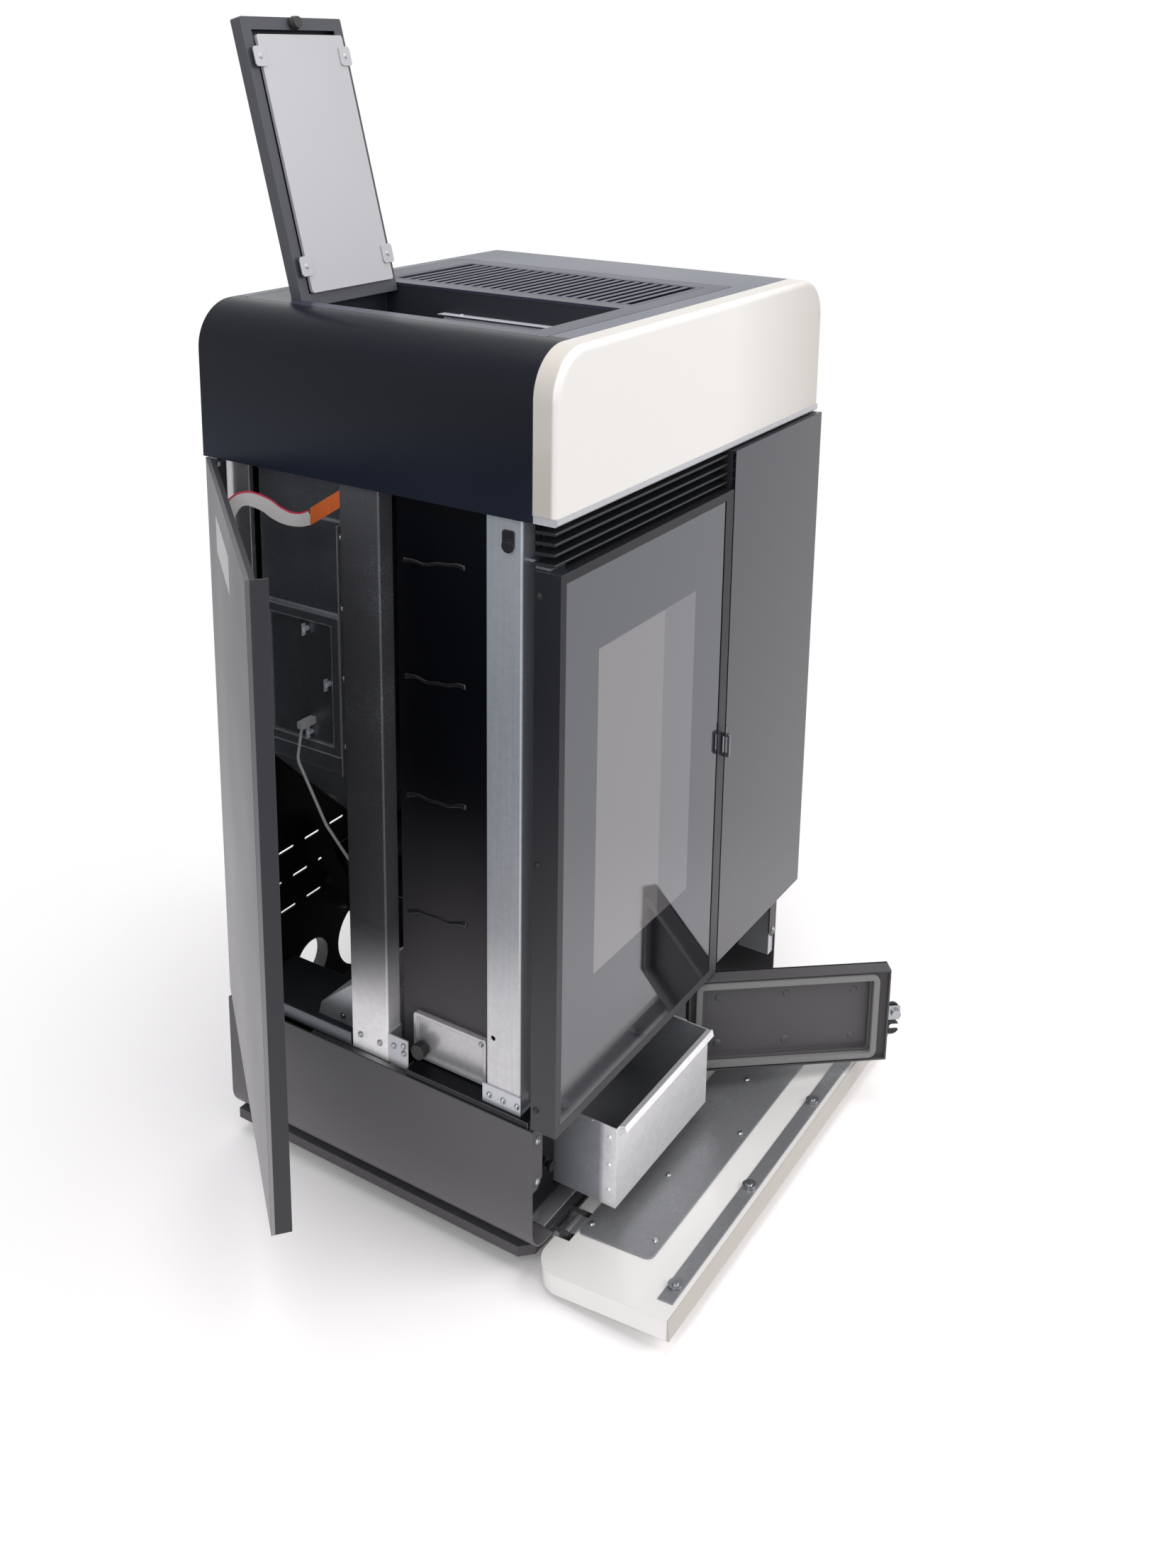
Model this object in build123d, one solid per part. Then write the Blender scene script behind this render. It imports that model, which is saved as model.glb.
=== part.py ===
from build123d import *
import math
import os

os.makedirs("parts", exist_ok=True)

# Pellet stove, shown open for service. X runs to the right of someone who faces it, Y to the
# rear, Z up from the floor. The origin is on the floor under the middle of the casing.

# ---------------------------------------------------------------- driving sizes, millimetres
WIDTH = 600.0                 # over both side doors
DEPTH = 434.0                 # casing, without the doors on its front
TOP_HEIGHT = 1028.0           # top of the casing above the floor
SHEET = 2.0                   # painted casing sheet
THIN = 1.5                    # galvanised inner sheet
GAP = 2.0                     # joint between neighbouring covers
FIT = 0.05                    # running clearance of a pin in its bore
SEAT = 0.3                    # space between a moving piece and what it rests by

SUPPORT_HEIGHT = 20.0         # recessed frame that stands on the floor
SUPPORT_INSET = 32.0
SUPPORT_BAR = 30.0
RAIL_HEIGHT = 13.0            # dark rail under the base
RAIL_INSET = 5.0
RAIL_BAR = 60.0
RAIL_CHAMFER = 14.0

LEFT = -WIDTH / 2
RIGHT = WIDTH / 2
FRONT = -DEPTH / 2
REAR = DEPTH / 2
RAIL_TOP = SUPPORT_HEIGHT + RAIL_HEIGHT

BASE_TOP = 188.0
BASE_BEND = 28.0              # outer radius of the lower bend
BASE_LIP = 42.0               # width of the bottom flange
BASE_FLANGE = 20.0            # width of the front flange
BASE_FLANGE_HEIGHT = 76.0
BASE_FORWARD = 5.0            # the base stands this far in front of the casing

SKIRT = 169.0                 # height of the casing from its lower edge to its top
SKIRT_BOTTOM = TOP_HEIGHT - SKIRT
CASING_BEND = 50.0            # outer radius of the two long upper edges
BAND_DEPTH = 28.0
BAND_LIP = 8.0
BAND_EDGE = 7.0               # rounding of the front edge of the band

PLATE_X = (LEFT + 58.0, RIGHT - 148.0)  # inset plate in the top
PLATE_Y = (FRONT + 25.0, REAR - 15.0)
PLATE_SHEET = 3.0
PLATE_LEDGE = 10.0
PLATE_CORNER = 3.0

LID_X = (LEFT + 80.0, LEFT + 242.0)     # filling opening in the plate
LID_Y = (FRONT + 52.0, REAR - 65.0)
LID_SHEET = 1.5
LID_HEIGHT = 14.0
LID_REAR_GAP = 4.0            # the raised lid needs more room behind it
LID_OPEN = 104.5              # degrees, as it stands
LID_PIN = 2.5

GRILLE_X = (LID_X[1] + 24.0, RIGHT - 172.0)
GRILLE_Y = (FRONT + 49.0, REAR - 47.0)
GRILLE_FRAME = 6.0
GRILLE_BARS = 25
GRILLE_BAR = 6.5              # width of a bar at its top
GRILLE_DEPTH = 12.0

LOUVRES = 4
LOUVRE_PITCH = 10.6
LOUVRE_TOP = SKIRT_BOTTOM - 6.0
LOUVRE_SHEET = 4.0
LOUVRE_DEPTH = 26.0

DOOR_DEPTH = 34.0             # front of the glass door before the casing
DOOR_FRAME_DEPTH = 31.0
DOOR_TOP = SKIRT_BOTTOM - 46.0
DOOR_BOTTOM = BASE_TOP + 5.0
DOOR_RIGHT = RIGHT - 240.0    # the rest of the front is a fixed glass panel
DOOR_LIP = 10.0
DOOR_BAR = 17.0               # handle side of the frame
DOOR_WALL = 2.5
PANE = 4.0
SLIT = 2.5
DOOR_AXIS_IN = 10.0
DOOR_PIN = 4.0

WINDOW_X = (LEFT + 71.0, DOOR_RIGHT - 84.0)  # fire opening behind the glass
WINDOW_Z = (DOOR_BOTTOM + 155.0, DOOR_TOP - 97.0)

SIDE_TOP = SKIRT_BOTTOM - 3.0
SIDE_BOTTOM = BASE_TOP + 10.0
SIDE_DEPTH = 20.0
SIDE_FRONT = FRONT + 12.0
SIDE_REAR = REAR - 4.0
SIDE_OPEN = 40.0              # degrees, as it stands
SIDE_PIN = 4.0
SIDE_AXIS_IN = 10.0
DISPLAY_T = (110.0, 252.0)    # display window, from the hinge edge
DISPLAY_Z = (SIDE_TOP - 74.0, SIDE_TOP - 32.0)

POST_DEEP = 22.0
POST_FACE_IN = 8.0            # outer face of the posts inside the casing side
MID_POST_Y = (FRONT + 195.0, FRONT + 248.0)
FRONT_POST_Y = (FRONT + 16.0, FRONT + 60.0)
REAR_POST_Y = (REAR - 41.0, REAR - 6.5)
POST_TOP = SKIRT_BOTTOM - 0.5

DECK_Z = BASE_TOP
DECK_FLANGE = 17.0
DECK_FRONT = MID_POST_Y[0] - 3.0

FIRE_X = (LEFT + 30.0, DOOR_RIGHT - 28.0)  # fire body
FIRE_Y = (FRONT + 11.0, FRONT + 189.0)
FIRE_Z = (BASE_TOP + 8.0, TOP_HEIGHT - 123.0)
FIRE_WALL = 6.0
FIRE_FACE = 8.0
SMOKE_SIDE = 42.0             # from the sides of the smoke box to its outer tubes
SMOKE_PITCH = (FIRE_X[1] - FIRE_X[0] - 2 * FIRE_WALL - 2 * SMOKE_SIDE) / 4
SMOKE_SPACE = 5.5             # between neighbouring tubes
SMOKE_TUBE = (SMOKE_PITCH - SMOKE_SPACE) / 2  # outer radius
FIRE_CAVITY_Z = (FIRE_Z[0] + 126.0, FIRE_Z[1] - 163.0)
FACE_BELOW = 62.0             # front flange below the fire window
FACE_ABOVE = 76.0
RIB_SIDE = 22.0               # from the edges of the lining to its outer ribs
RIB_BELOW = 130.0
RIB_ABOVE = 30.0

POT_WIDTH = 116.0
POT_DEPTH = 96.0
POT_HEIGHT = 84.0
POT_WALL = 6.0
POT_FLOOR = FIRE_CAVITY_Z[0] + 8.0
POT_Y = FRONT + 113.0

HOPPER_X = (LEFT + 62.0, LID_X[1] + 4.5)
HOPPER_Y = (REAR - 147.0, REAR - 21.0)
HOPPER_Z = (490.0, TOP_HEIGHT - 43.0)
FUNNEL_BOTTOM = 396.0
FUNNEL_MOUTH = 44.0
FUNNEL_Y = HOPPER_Y[0] + 42.0

AUGER_TUBE = 27.0             # outer radius
AUGER_WALL = 2.5
AUGER_SCREW = 21.0
AUGER_SHAFT = 7.0
AUGER_PITCH = 44.0

PAN_X = (FIRE_X[0] + 58.0, FIRE_X[1] - 32.0)  # ash pan
PAN_DEPTH = 170.0
PAN_Z = (56.0, 157.0)
PAN_IN = FRONT + 32.0         # front of the pan when it is pushed in
PAN_OUT = 89.0                # how far it stands out
PAN_SHEET = 1.2

ASH_HINGE = (PAN_X[1] + 40.0, FRONT + 2.0)
ASH_LENGTH = ASH_HINGE[0] - PAN_X[0] + 10.0  # the door reaches past the pan
ASH_Z = (61.0, 188.0)
ASH_THICK = 20.0
ASH_OPEN = 129.0              # degrees, as it stands
ASH_PIN = 4.0

FLAP_HINGE = (FRONT - 14.0, RAIL_TOP - 7.0)  # Y and Z of the hinge line of the lower flap
FLAP_FRONT = 21.0             # outer face before the hinge line
FLAP_THICK = 24.0
FLAP_HEIGHT = 163.0           # top edge above the hinge line
FLAP_BELOW = 8.0
FLAP_CORNER = 34.0
FLAP_SHEET = 2.0
FLAP_OPEN = 84.5              # degrees, as it stands
FLAP_PIN = 3.0
FLAP_EYES = (LEFT + 56.0, RIGHT - 84.0)      # left ends of the two hinge eyes

FLUE = 40.0                   # radius of the smoke outlet
FLUE_AT = (RIGHT - 170.0, 158.0)  # X and Z on the rear panel
SCROLL = 66.0
AIR = 30.0                    # radius of the air inlet
AIR_AT = (LEFT + 141.0, 163.0)
LEVER_AT = (FRONT + 32.0, SKIRT_BOTTOM - 30.0)  # Y and Z of the scraper pull
LEVER_ROD = 4.0
LEVER_TRAVEL = 25.0
PASSAGE = 46.0                # second, open passage in the rear panel
PASSAGE_AT = (LEFT + 236.0, 158.0)
PANEL_JOINT = 220.0           # height where the two rear sheets meet

DOOR_FACE = FRONT - DOOR_DEPTH
DOOR_BACK = DOOR_FACE + DOOR_FRAME_DEPTH


# ---------------------------------------------------------------- shapes used by many pieces
def block(x0, x1, y0, y1, z0, z1):
    """A rectangular solid between two opposite corners."""
    return Pos((x0 + x1) / 2, (y0 + y1) / 2, (z0 + z1) / 2) * Box(x1 - x0, y1 - y0, z1 - z0)


def rod(point, direction, radius, length):
    """A round bar that starts at a point and runs along a direction."""
    base = Plane(origin=point, z_dir=direction)
    return base.location * Cylinder(radius, length, align=(Align.CENTER, Align.CENTER, Align.MIN))


def cone(point, direction, low, high, length):
    """A turned piece that tapers from one radius to another."""
    base = Plane(origin=point, z_dir=direction)
    return base.location * Cone(low, high, length, align=(Align.CENTER, Align.CENTER, Align.MIN))


def area(u0, u1, v0, v1):
    """A flat rectangle between two opposite corners."""
    return Pos((u0 + u1) / 2, (v0 + v1) / 2) * Rectangle(u1 - u0, v1 - v0)


def rounded(u0, u1, v0, v1, radius):
    """A flat rectangle with four round corners."""
    return Pos((u0 + u1) / 2, (v0 + v1) / 2) * RectangleRounded(u1 - u0, v1 - v0, radius)


def along_y(profile, y0, y1):
    """A profile drawn in X and Z, carried from y0 to y1."""
    start = Plane(origin=(0, y1, 0), x_dir=(1, 0, 0), z_dir=(0, -1, 0))
    return extrude(start * profile, y1 - y0)


def along_x(profile, x0, x1):
    """A profile drawn in Y and Z, carried from x0 to x1."""
    start = Plane(origin=(x0, 0, 0), x_dir=(0, 1, 0), z_dir=(1, 0, 0))
    return extrude(start * profile, x1 - x0)


def along_z(profile, z0, z1):
    """A profile drawn in X and Y, carried from z0 to z1."""
    return extrude(Pos(0, 0, z0) * profile, z1 - z0)


def mirrored(piece):
    """The same piece for the right side of the stove."""
    return mirror(piece, Plane.YZ)


def swung(piece, point, direction, degrees):
    """A piece turned about a hinge line to where it stands."""
    return piece.rotate(Axis(point, direction), degrees)


def pan_head(point, direction, radius=3.2):
    """The low round head of a screw, seated on a face."""
    return cone(point, direction, radius, radius * 0.7, radius * 0.55)


def heads(points, direction, radius=3.2):
    """Equal screw heads on one face, as separate solids."""
    return Compound(children=[pan_head(p, direction, radius) for p in points])


PARTS = {}


def keep(name, *pieces):
    """Files the solids of one node under its name."""
    solids = [s for p in pieces for s in p.solids()]
    PARTS[name] = solids[0] if len(solids) == 1 else Compound(children=solids)


# ---------------------------------------------------------------- stand and base
def support_frame():
    """Recessed frame with a middle bar."""
    inset = SUPPORT_INSET
    outer = area(LEFT + inset, RIGHT - inset, FRONT + inset, REAR - inset)
    inner = area(
        LEFT + inset + SUPPORT_BAR,
        RIGHT - inset - SUPPORT_BAR,
        FRONT + inset + SUPPORT_BAR,
        REAR - inset - SUPPORT_BAR,
    )
    middle = area(LEFT + inset, RIGHT - inset, -SUPPORT_BAR / 2, SUPPORT_BAR / 2)
    return along_z(outer - inner + middle, 0, SUPPORT_HEIGHT)


def plinth_rail():
    x0, x1 = LEFT + RAIL_INSET, RIGHT - RAIL_INSET
    y0, y1 = FRONT + GAP, REAR - RAIL_INSET
    outer = area(x0, x1, y0, y1)
    outer = chamfer(outer.vertices().group_by(Axis.Y)[0], RAIL_CHAMFER)
    inner = area(x0 + RAIL_BAR, x1 - RAIL_BAR, y0 + RAIL_BAR, y1 - RAIL_BAR)
    return along_z(outer - inner, SUPPORT_HEIGHT, RAIL_TOP)


def base_side():
    """Left base cover: one sheet with a round lower bend, a front flange and a bottom flange."""
    low, front = RAIL_TOP, FRONT - BASE_FORWARD
    outer = area(LEFT, LEFT + BASE_LIP, low, BASE_TOP)
    corner = outer.vertices().group_by(Axis.Y)[0].sort_by(Axis.X)[0]
    outer = fillet(corner, BASE_BEND)
    inner = area(LEFT + SHEET, LEFT + BASE_LIP + SHEET, low + SHEET, BASE_TOP + SHEET)
    corner = inner.vertices().group_by(Axis.Y)[0].sort_by(Axis.X)[0]
    inner = fillet(corner, BASE_BEND - SHEET)
    side = along_y(outer - inner, front, REAR)
    flange_low = BASE_TOP - BASE_FLANGE_HEIGHT
    x0, x1 = LEFT + SHEET, LEFT + BASE_FLANGE
    flange = block(x0, x1, front, front + SHEET, flange_low, BASE_TOP)
    edge = flange.edges().filter_by(Axis.Y).group_by(Axis.Z)[0].sort_by(Axis.X)[-1]
    flange = chamfer(edge, BASE_FLANGE / 2)
    rear = block(x0, x1, REAR - SHEET, REAR, BASE_TOP - BASE_FLANGE_HEIGHT, BASE_TOP)
    return side + flange + rear


def base_floor():
    """Floor sheet of the base and the strip along its rear edge."""
    x0, x1 = LEFT + BASE_LIP + GAP, RIGHT - BASE_LIP - GAP
    floor = block(x0, x1, FRONT + 4 * GAP, REAR - 3 * GAP, RAIL_TOP, RAIL_TOP + THIN)
    return floor, block(x0, x1, REAR - 3 * GAP - THIN, REAR - 3 * GAP, RAIL_TOP + THIN, RAIL_TOP + 30)


def deck():
    """Galvanised deck over the base, cut away over the air and smoke passages."""
    x0, x1 = LEFT + POST_FACE_IN, RIGHT - POST_FACE_IN
    y0, y1 = DECK_FRONT, REAR - 4 * GAP
    sheet = block(x0, x1, y0, y1, DECK_Z, DECK_Z + THIN)
    sheet -= block(AIR_AT[0] - AIR - 4, PASSAGE_AT[0] + PASSAGE + 4, REAR - 87, y1 + 1, DECK_Z - 1, DECK_Z + 3)
    sheet -= block(FLUE_AT[0] - SCROLL - 4, FLUE_AT[0] + SCROLL + 4, REAR - 127, y1 + 1, DECK_Z - 1, DECK_Z + 3)
    edge = block(x0, x0 + THIN, MID_POST_Y[1] + GAP, REAR_POST_Y[0] - GAP, DECK_Z, DECK_Z + DECK_FLANGE)
    front = block(x0 + 24, x1 - 24, y0, y0 + THIN, DECK_Z - 20, DECK_Z)
    return sheet + edge + mirrored(edge) + front


def side_sill():
    """Black angle on which the front left post stands."""
    x0, x1 = LEFT + SHEET, LEFT + 34
    y0, y1 = FRONT + 2, MID_POST_Y[0] - 30
    profile = area(x0, x1, BASE_TOP - 18, BASE_TOP + 8) - area(x0 + 3, x1 + 1, BASE_TOP - 19, BASE_TOP + 5)
    return along_y(profile, y0, y1)


def corner_bracket():
    """Angle behind the front flange of the right base cover."""
    x0, x1 = RIGHT - 17, RIGHT - 3
    y0 = FRONT - BASE_FORWARD + SHEET + 0.1
    z0, z1 = BASE_TOP - 102, BASE_TOP - 2
    cheek = block(x0, x0 + THIN, y0, FRONT + 42, z0, z1)
    return block(x0, x1, y0, y0 + THIN, z0, z1) + cheek


# ---------------------------------------------------------------- posts and rear panel
def post(y0, y1, low, high):
    """Galvanised channel with its web outwards."""
    x0 = LEFT + POST_FACE_IN
    outer = area(x0, x0 + POST_DEEP, y0, y1)
    outer = fillet(outer.vertices().group_by(Axis.X)[0], 2.5)
    inner = area(x0 + THIN, x0 + POST_DEEP + 1, y0 + THIN, y1 - THIN)
    return along_z(outer - inner, low, high)


def mid_post():
    return post(*MID_POST_Y, DECK_Z + THIN, POST_TOP)


def mid_post_foot():
    """Foot angle in front of the middle post, with its two screws."""
    x0 = LEFT + POST_FACE_IN
    y0, y1 = MID_POST_Y[0] - 28, MID_POST_Y[0] - 0.2
    up = block(x0, x0 + THIN, y0, y1, DECK_Z + THIN, BASE_TOP + 38)
    cap = block(x0, x0 + POST_DEEP, y1 - THIN, y1, DECK_Z + THIN, BASE_TOP + 38)
    return up + cap


def front_post():
    low = BASE_TOP + 8 + 14
    column = post(*FRONT_POST_Y, low, POST_TOP)
    hole = rod((LEFT, FRONT_POST_Y[1] - 9, low + 66), (1, 0, 0), 3.0, 30)
    guide = rod((LEFT, LEVER_AT[0], LEVER_AT[1]), (1, 0, 0), LEVER_ROD + FIT, 16)
    return column - hole - guide


def front_post_foot():
    """Bracket that carries the front post on its sill."""
    x0 = LEFT + POST_FACE_IN
    y0, y1 = FRONT_POST_Y[0] - 1.5, FRONT_POST_Y[1] + 4
    low = BASE_TOP + 8
    floor = block(x0 - THIN, x0 + POST_DEEP, y0, y1, low, low + THIN)
    wall = block(x0 - THIN, x0, y0, y1, low, low + 22)
    rest = block(x0, x0 + POST_DEEP, *FRONT_POST_Y, low + THIN, low + 14)
    return floor + wall + rest


def rear_post():
    x0 = LEFT + 26
    profile = area(x0, x0 + 40, REAR_POST_Y[1] - THIN, REAR_POST_Y[1])
    profile += area(x0, x0 + THIN, *REAR_POST_Y)
    return along_z(profile, DECK_Z + THIN, POST_TOP)


def lower_rear_panel():
    """Three black sheets side by side: air inlet, pipe passage and smoke outlet."""
    joints = (LEFT + 24, AIR_AT[0] + 40, PASSAGE_AT[0] + 100, RIGHT - 24)
    y0, y1 = REAR - 2 * GAP - SHEET, REAR - 2 * GAP
    holes = ((AIR_AT, AIR + 1), (PASSAGE_AT, PASSAGE), (FLUE_AT, FLUE + 1))
    sheets = []
    for x0, x1, ((x, z), radius) in zip(joints, joints[1:], holes):
        sheet = block(x0, x1, y0, y1, RAIL_TOP + SHEET + 1, PANEL_JOINT)
        sheets.append(sheet - rod((x, y0 - 1, z), (0, 1, 0), radius, SHEET + 2))
    return sheets


def upper_rear_panel():
    """Black sheet with rows of vent slots that closes the casing up to its top."""
    x0, x1 = LEFT + 24, RIGHT - 24
    panel = block(x0, x1, REAR - 2 * GAP - SHEET, REAR - 2 * GAP, PANEL_JOINT, SKIRT_BOTTOM + 20)
    inside = arch(WIDTH - 4 * SHEET, SKIRT_BOTTOM + 4, TOP_HEIGHT - 3 * SHEET, CASING_BEND - 3 * SHEET)
    panel += along_y(inside, REAR - 2 * GAP - SHEET, REAR - 2 * GAP)
    slot = rounded(-13.5, 13.5, -1.8, 1.8, 1.7)
    cuts = []
    for row in range(3):
        for column in range(5):
            x = LEFT + 55 + 46 * column + 23 * (row % 2)
            cuts.append(along_y(Pos(x, PANEL_JOINT + 37 + 40 * row) * slot, REAR - 12, REAR))
    for side in (RIGHT - 190, RIGHT - 110):
        for row in range(6):
            cuts.append(along_y(Pos(side, PANEL_JOINT + 80 + 26 * row) * slot, REAR - 12, REAR))
    for cut in cuts:
        panel -= cut
    return panel


# ---------------------------------------------------------------- upper casing
def arch(width, low, high, radius):
    """A flat outline of an upright plate with two round upper corners."""
    outline = area(-width / 2, width / 2, low, high)
    return fillet(outline.vertices().group_by(Axis.Y)[-1], radius)


def top_casing():
    """One sheet bent over both long edges, with a stepped opening for the inset plate."""
    outer = arch(WIDTH, SKIRT_BOTTOM, TOP_HEIGHT, CASING_BEND)
    inner = arch(WIDTH - 2 * SHEET, SKIRT_BOTTOM - 5, TOP_HEIGHT - SHEET, CASING_BEND - SHEET)
    shell = along_y(outer - inner, FRONT, REAR)
    top = TOP_HEIGHT
    floor = top - PLATE_SHEET
    edge = PLATE_LEDGE
    pocket = rounded(PLATE_X[0] - 1, PLATE_X[1] + 1, PLATE_Y[0] - 1, PLATE_Y[1] + 1, PLATE_CORNER + 1)
    ledge_out = area(PLATE_X[0] - edge, PLATE_X[1] + edge, PLATE_Y[0] - edge, PLATE_Y[1] + edge)
    ledge_in = area(PLATE_X[0] + edge, PLATE_X[1] - edge, PLATE_Y[0] + edge, PLATE_Y[1] - edge)
    shell += along_z(ledge_out - ledge_in, floor - SHEET, top - SHEET)
    shell -= along_z(pocket, floor, top + 1)
    flange = block(LEFT + SHEET, LEFT + 14, FRONT + 1, REAR - 1, SKIRT_BOTTOM, SKIRT_BOTTOM + SHEET)
    return shell + flange + mirrored(flange)


def top_plate():
    """Inset plate with the filling opening and the seat of the grille."""
    low, top = TOP_HEIGHT - PLATE_SHEET, TOP_HEIGHT
    plate = rounded(*PLATE_X, *PLATE_Y, PLATE_CORNER)
    plate -= rounded(LID_X[0] - 1.5, LID_X[1] + 1.5, LID_Y[0] - 1.5, LID_Y[1] + LID_REAR_GAP, 3)
    plate -= rounded(GRILLE_X[0] - 1, GRILLE_X[1] + 1, GRILLE_Y[0] - 1, GRILLE_Y[1] + 1, 3)
    return along_z(plate, low, top)


def top_grille():
    """Convection grille: a frame on hidden ledges and bars that slope to the rear."""
    x0, x1 = GRILLE_X
    y0, y1 = GRILLE_Y
    top = TOP_HEIGHT
    low = top - GRILLE_DEPTH
    frame = rounded(x0, x1, y0, y1, 3) - area(
        x0 + GRILLE_FRAME, x1 - GRILLE_FRAME, y0 + GRILLE_FRAME, y1 - GRILLE_FRAME
    )
    body = along_z(frame, low, top)
    for side in (x0 - 4, x1):
        body += block(side, side + 4, y0 + 20, y1 - 20, top - PLATE_SHEET - 3, top - PLATE_SHEET)
    span = y1 - y0 - 2 * GRILLE_FRAME
    pitch = span / GRILLE_BARS
    lean = GRILLE_DEPTH * 0.35
    for n in range(1, GRILLE_BARS):
        y = y0 + GRILLE_FRAME + pitch * n
        half = GRILLE_BAR / 2
        bar = make_face(
            Polyline(
                (y - half, top - 0.5),
                (y + half, top - 0.5),
                (y + half + lean - 2, low + 1),
                (y - half + lean + 2, low + 1),
                close=True,
            )
        )
        body += along_x(bar, x0 + GRILLE_FRAME - 0.5, x1 - GRILLE_FRAME + 0.5)
    return body


def front_band():
    """Enamelled band with the outline of the casing and a rounded front edge."""
    low = SKIRT_BOTTOM + BAND_LIP
    outline = arch(WIDTH, low, TOP_HEIGHT, CASING_BEND)
    band = along_y(outline, FRONT - BAND_DEPTH, FRONT - 0.5)
    face = band.faces().sort_by(Axis.Y)[0]
    rim = [e for e in face.edges() if e.center().Z > low + 1]
    band = fillet(rim, BAND_EDGE)
    hollow = arch(WIDTH - 2 * 10, low + 8, TOP_HEIGHT - 10, CASING_BEND - 10)
    return band - along_y(hollow, FRONT - BAND_DEPTH + 9, FRONT)


def band_lip():
    """Metal strip that closes the lower edge of the band."""
    y0 = FRONT - BAND_DEPTH
    strip = block(LEFT + 1, RIGHT - 1, y0, FRONT - 0.5, SKIRT_BOTTOM, SKIRT_BOTTOM + BAND_LIP)
    edge = strip.edges().filter_by(Axis.X).group_by(Axis.Z)[0].sort_by(Axis.Y)[0]
    return chamfer(edge, 2.0)


def louvre_blades():
    """Four blades under the band, turned round the left corner, on two upright holders."""
    y0, y1 = FRONT - LOUVRE_DEPTH, FRONT - 0.5
    x0, x1 = LEFT + 2, DOOR_RIGHT
    pieces = []
    for n in range(LOUVRES):
        high = LOUVRE_TOP - LOUVRE_PITCH * n
        blade = make_face(
            Polyline(
                (y0, high - 1.2),
                (y0 + 1, high),
                (y1, high - 1),
                (y1, high - LOUVRE_SHEET),
                (y0 + 1, high - LOUVRE_SHEET + 1),
                close=True,
            )
        )
        body = along_x(blade, x0, x1)
        pieces.append(body)
    return pieces


def louvre_holder():
    """Comb that carries the blades behind their rear edges."""
    y0, y1 = FRONT - 0.2, FRONT + 8
    low = LOUVRE_TOP - LOUVRE_PITCH * LOUVRES + 7
    comb = block(LEFT + 20, DOOR_RIGHT - 12, y0 + SHEET, y1, SKIRT_BOTTOM + 6, SKIRT_BOTTOM + 20)
    for x in (LEFT + 30, (LEFT + DOOR_RIGHT) / 2, DOOR_RIGHT - 24):
        comb += block(x - 8, x + 8, y0, y0 + SHEET, low, SKIRT_BOTTOM + 20)
    return comb


# ---------------------------------------------------------------- front panels
def right_front_glass():
    y0 = DOOR_FACE
    return block(DOOR_RIGHT + 3, RIGHT, y0, y0 + PANE, DOOR_BOTTOM + 11, SKIRT_BOTTOM - 2)


def right_front_tray():
    """Painted tray behind the fixed glass panel."""
    x0, x1, z0, z1 = DOOR_RIGHT + 3.5, RIGHT - 0.5, DOOR_BOTTOM + 11.5, SKIRT_BOTTOM - 2.5
    y0, y1 = DOOR_FACE + PANE, FRONT - 1
    tray = block(x0, x1, y0, y1, z0, z1)
    tray -= block(x0 + SHEET, x1 - SHEET, y0 + SHEET, y1 + 1, z0 + SHEET, z1 - SHEET)
    for share in (0.15, 0.48, 0.82):
        z = z0 + (z1 - z0) * share
        tray += block(RIGHT - POST_FACE_IN - 16, RIGHT - POST_FACE_IN - 4, y0 + 1, FRONT_POST_Y[0], z, z + 30)
    return tray


# ---------------------------------------------------------------- glass door, drawn shut and left shut
DOOR_AXIS = (LEFT + DOOR_AXIS_IN, DOOR_BACK - DOOR_AXIS_IN)


def glass_door_frame():
    """Deep frame with a lip round the pane and a wider bar on the handle side."""
    x0, x1, z0, z1 = LEFT, DOOR_RIGHT, DOOR_BOTTOM, DOOR_TOP
    y0, y1 = DOOR_FACE, DOOR_BACK
    frame = block(x0, x1, y0, y1, z0, z1)
    wall = DOOR_WALL
    frame -= block(x0 + wall, x1 - wall, y0 + wall, y1 + 1, z0 + wall, z1 - wall)
    right = x1 - DOOR_BAR
    frame -= block(x0 + DOOR_LIP, right, y0 - 1, y0 + wall + 1, z0 + DOOR_LIP, z1 - DOOR_LIP)
    back = y1 - wall
    ring = block(x0 + wall, x1 - wall, back, y1, z0 + wall, z1 - wall)
    ring -= block(WINDOW_X[0] - 26, WINDOW_X[1] + 26, back - 1, y1 + 1, WINDOW_Z[0] - 26, WINDOW_Z[1] + 26)
    frame += ring
    for z in (z0, z1 - wall):
        frame -= rod((*DOOR_AXIS, z - 1), (0, 0, 1), DOOR_PIN + FIT, wall + 2)
    return frame


def glass_pane():
    x0, x1 = LEFT + DOOR_LIP + 0.5, DOOR_RIGHT - DOOR_BAR - SLIT
    z0, z1 = DOOR_BOTTOM + DOOR_LIP + 0.5, DOOR_TOP - DOOR_LIP - 0.5
    y0 = DOOR_FACE + 0.4
    return block(x0, x1, y0, y0 + PANE, z0, z1)


def pane_holder():
    """Inner frame that presses the pane forwards, open at the fire window."""
    y0, y1 = DOOR_FACE + 0.4 + PANE, DOOR_BACK - DOOR_WALL
    outer = area(LEFT + 24, DOOR_RIGHT - 24, DOOR_BOTTOM + 16, DOOR_TOP - 16)
    window = area(*WINDOW_X, *WINDOW_Z)
    plate = along_y(outer - window, y0, y0 + 3)
    collar = area(WINDOW_X[0] - 25, WINDOW_X[1] + 25, WINDOW_Z[0] - 25, WINDOW_Z[1] + 25)
    inner = area(WINDOW_X[0] - 22, WINDOW_X[1] + 22, WINDOW_Z[0] - 22, WINDOW_Z[1] + 22)
    return plate + along_y(collar - inner, y0 + 3, y1)


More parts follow.
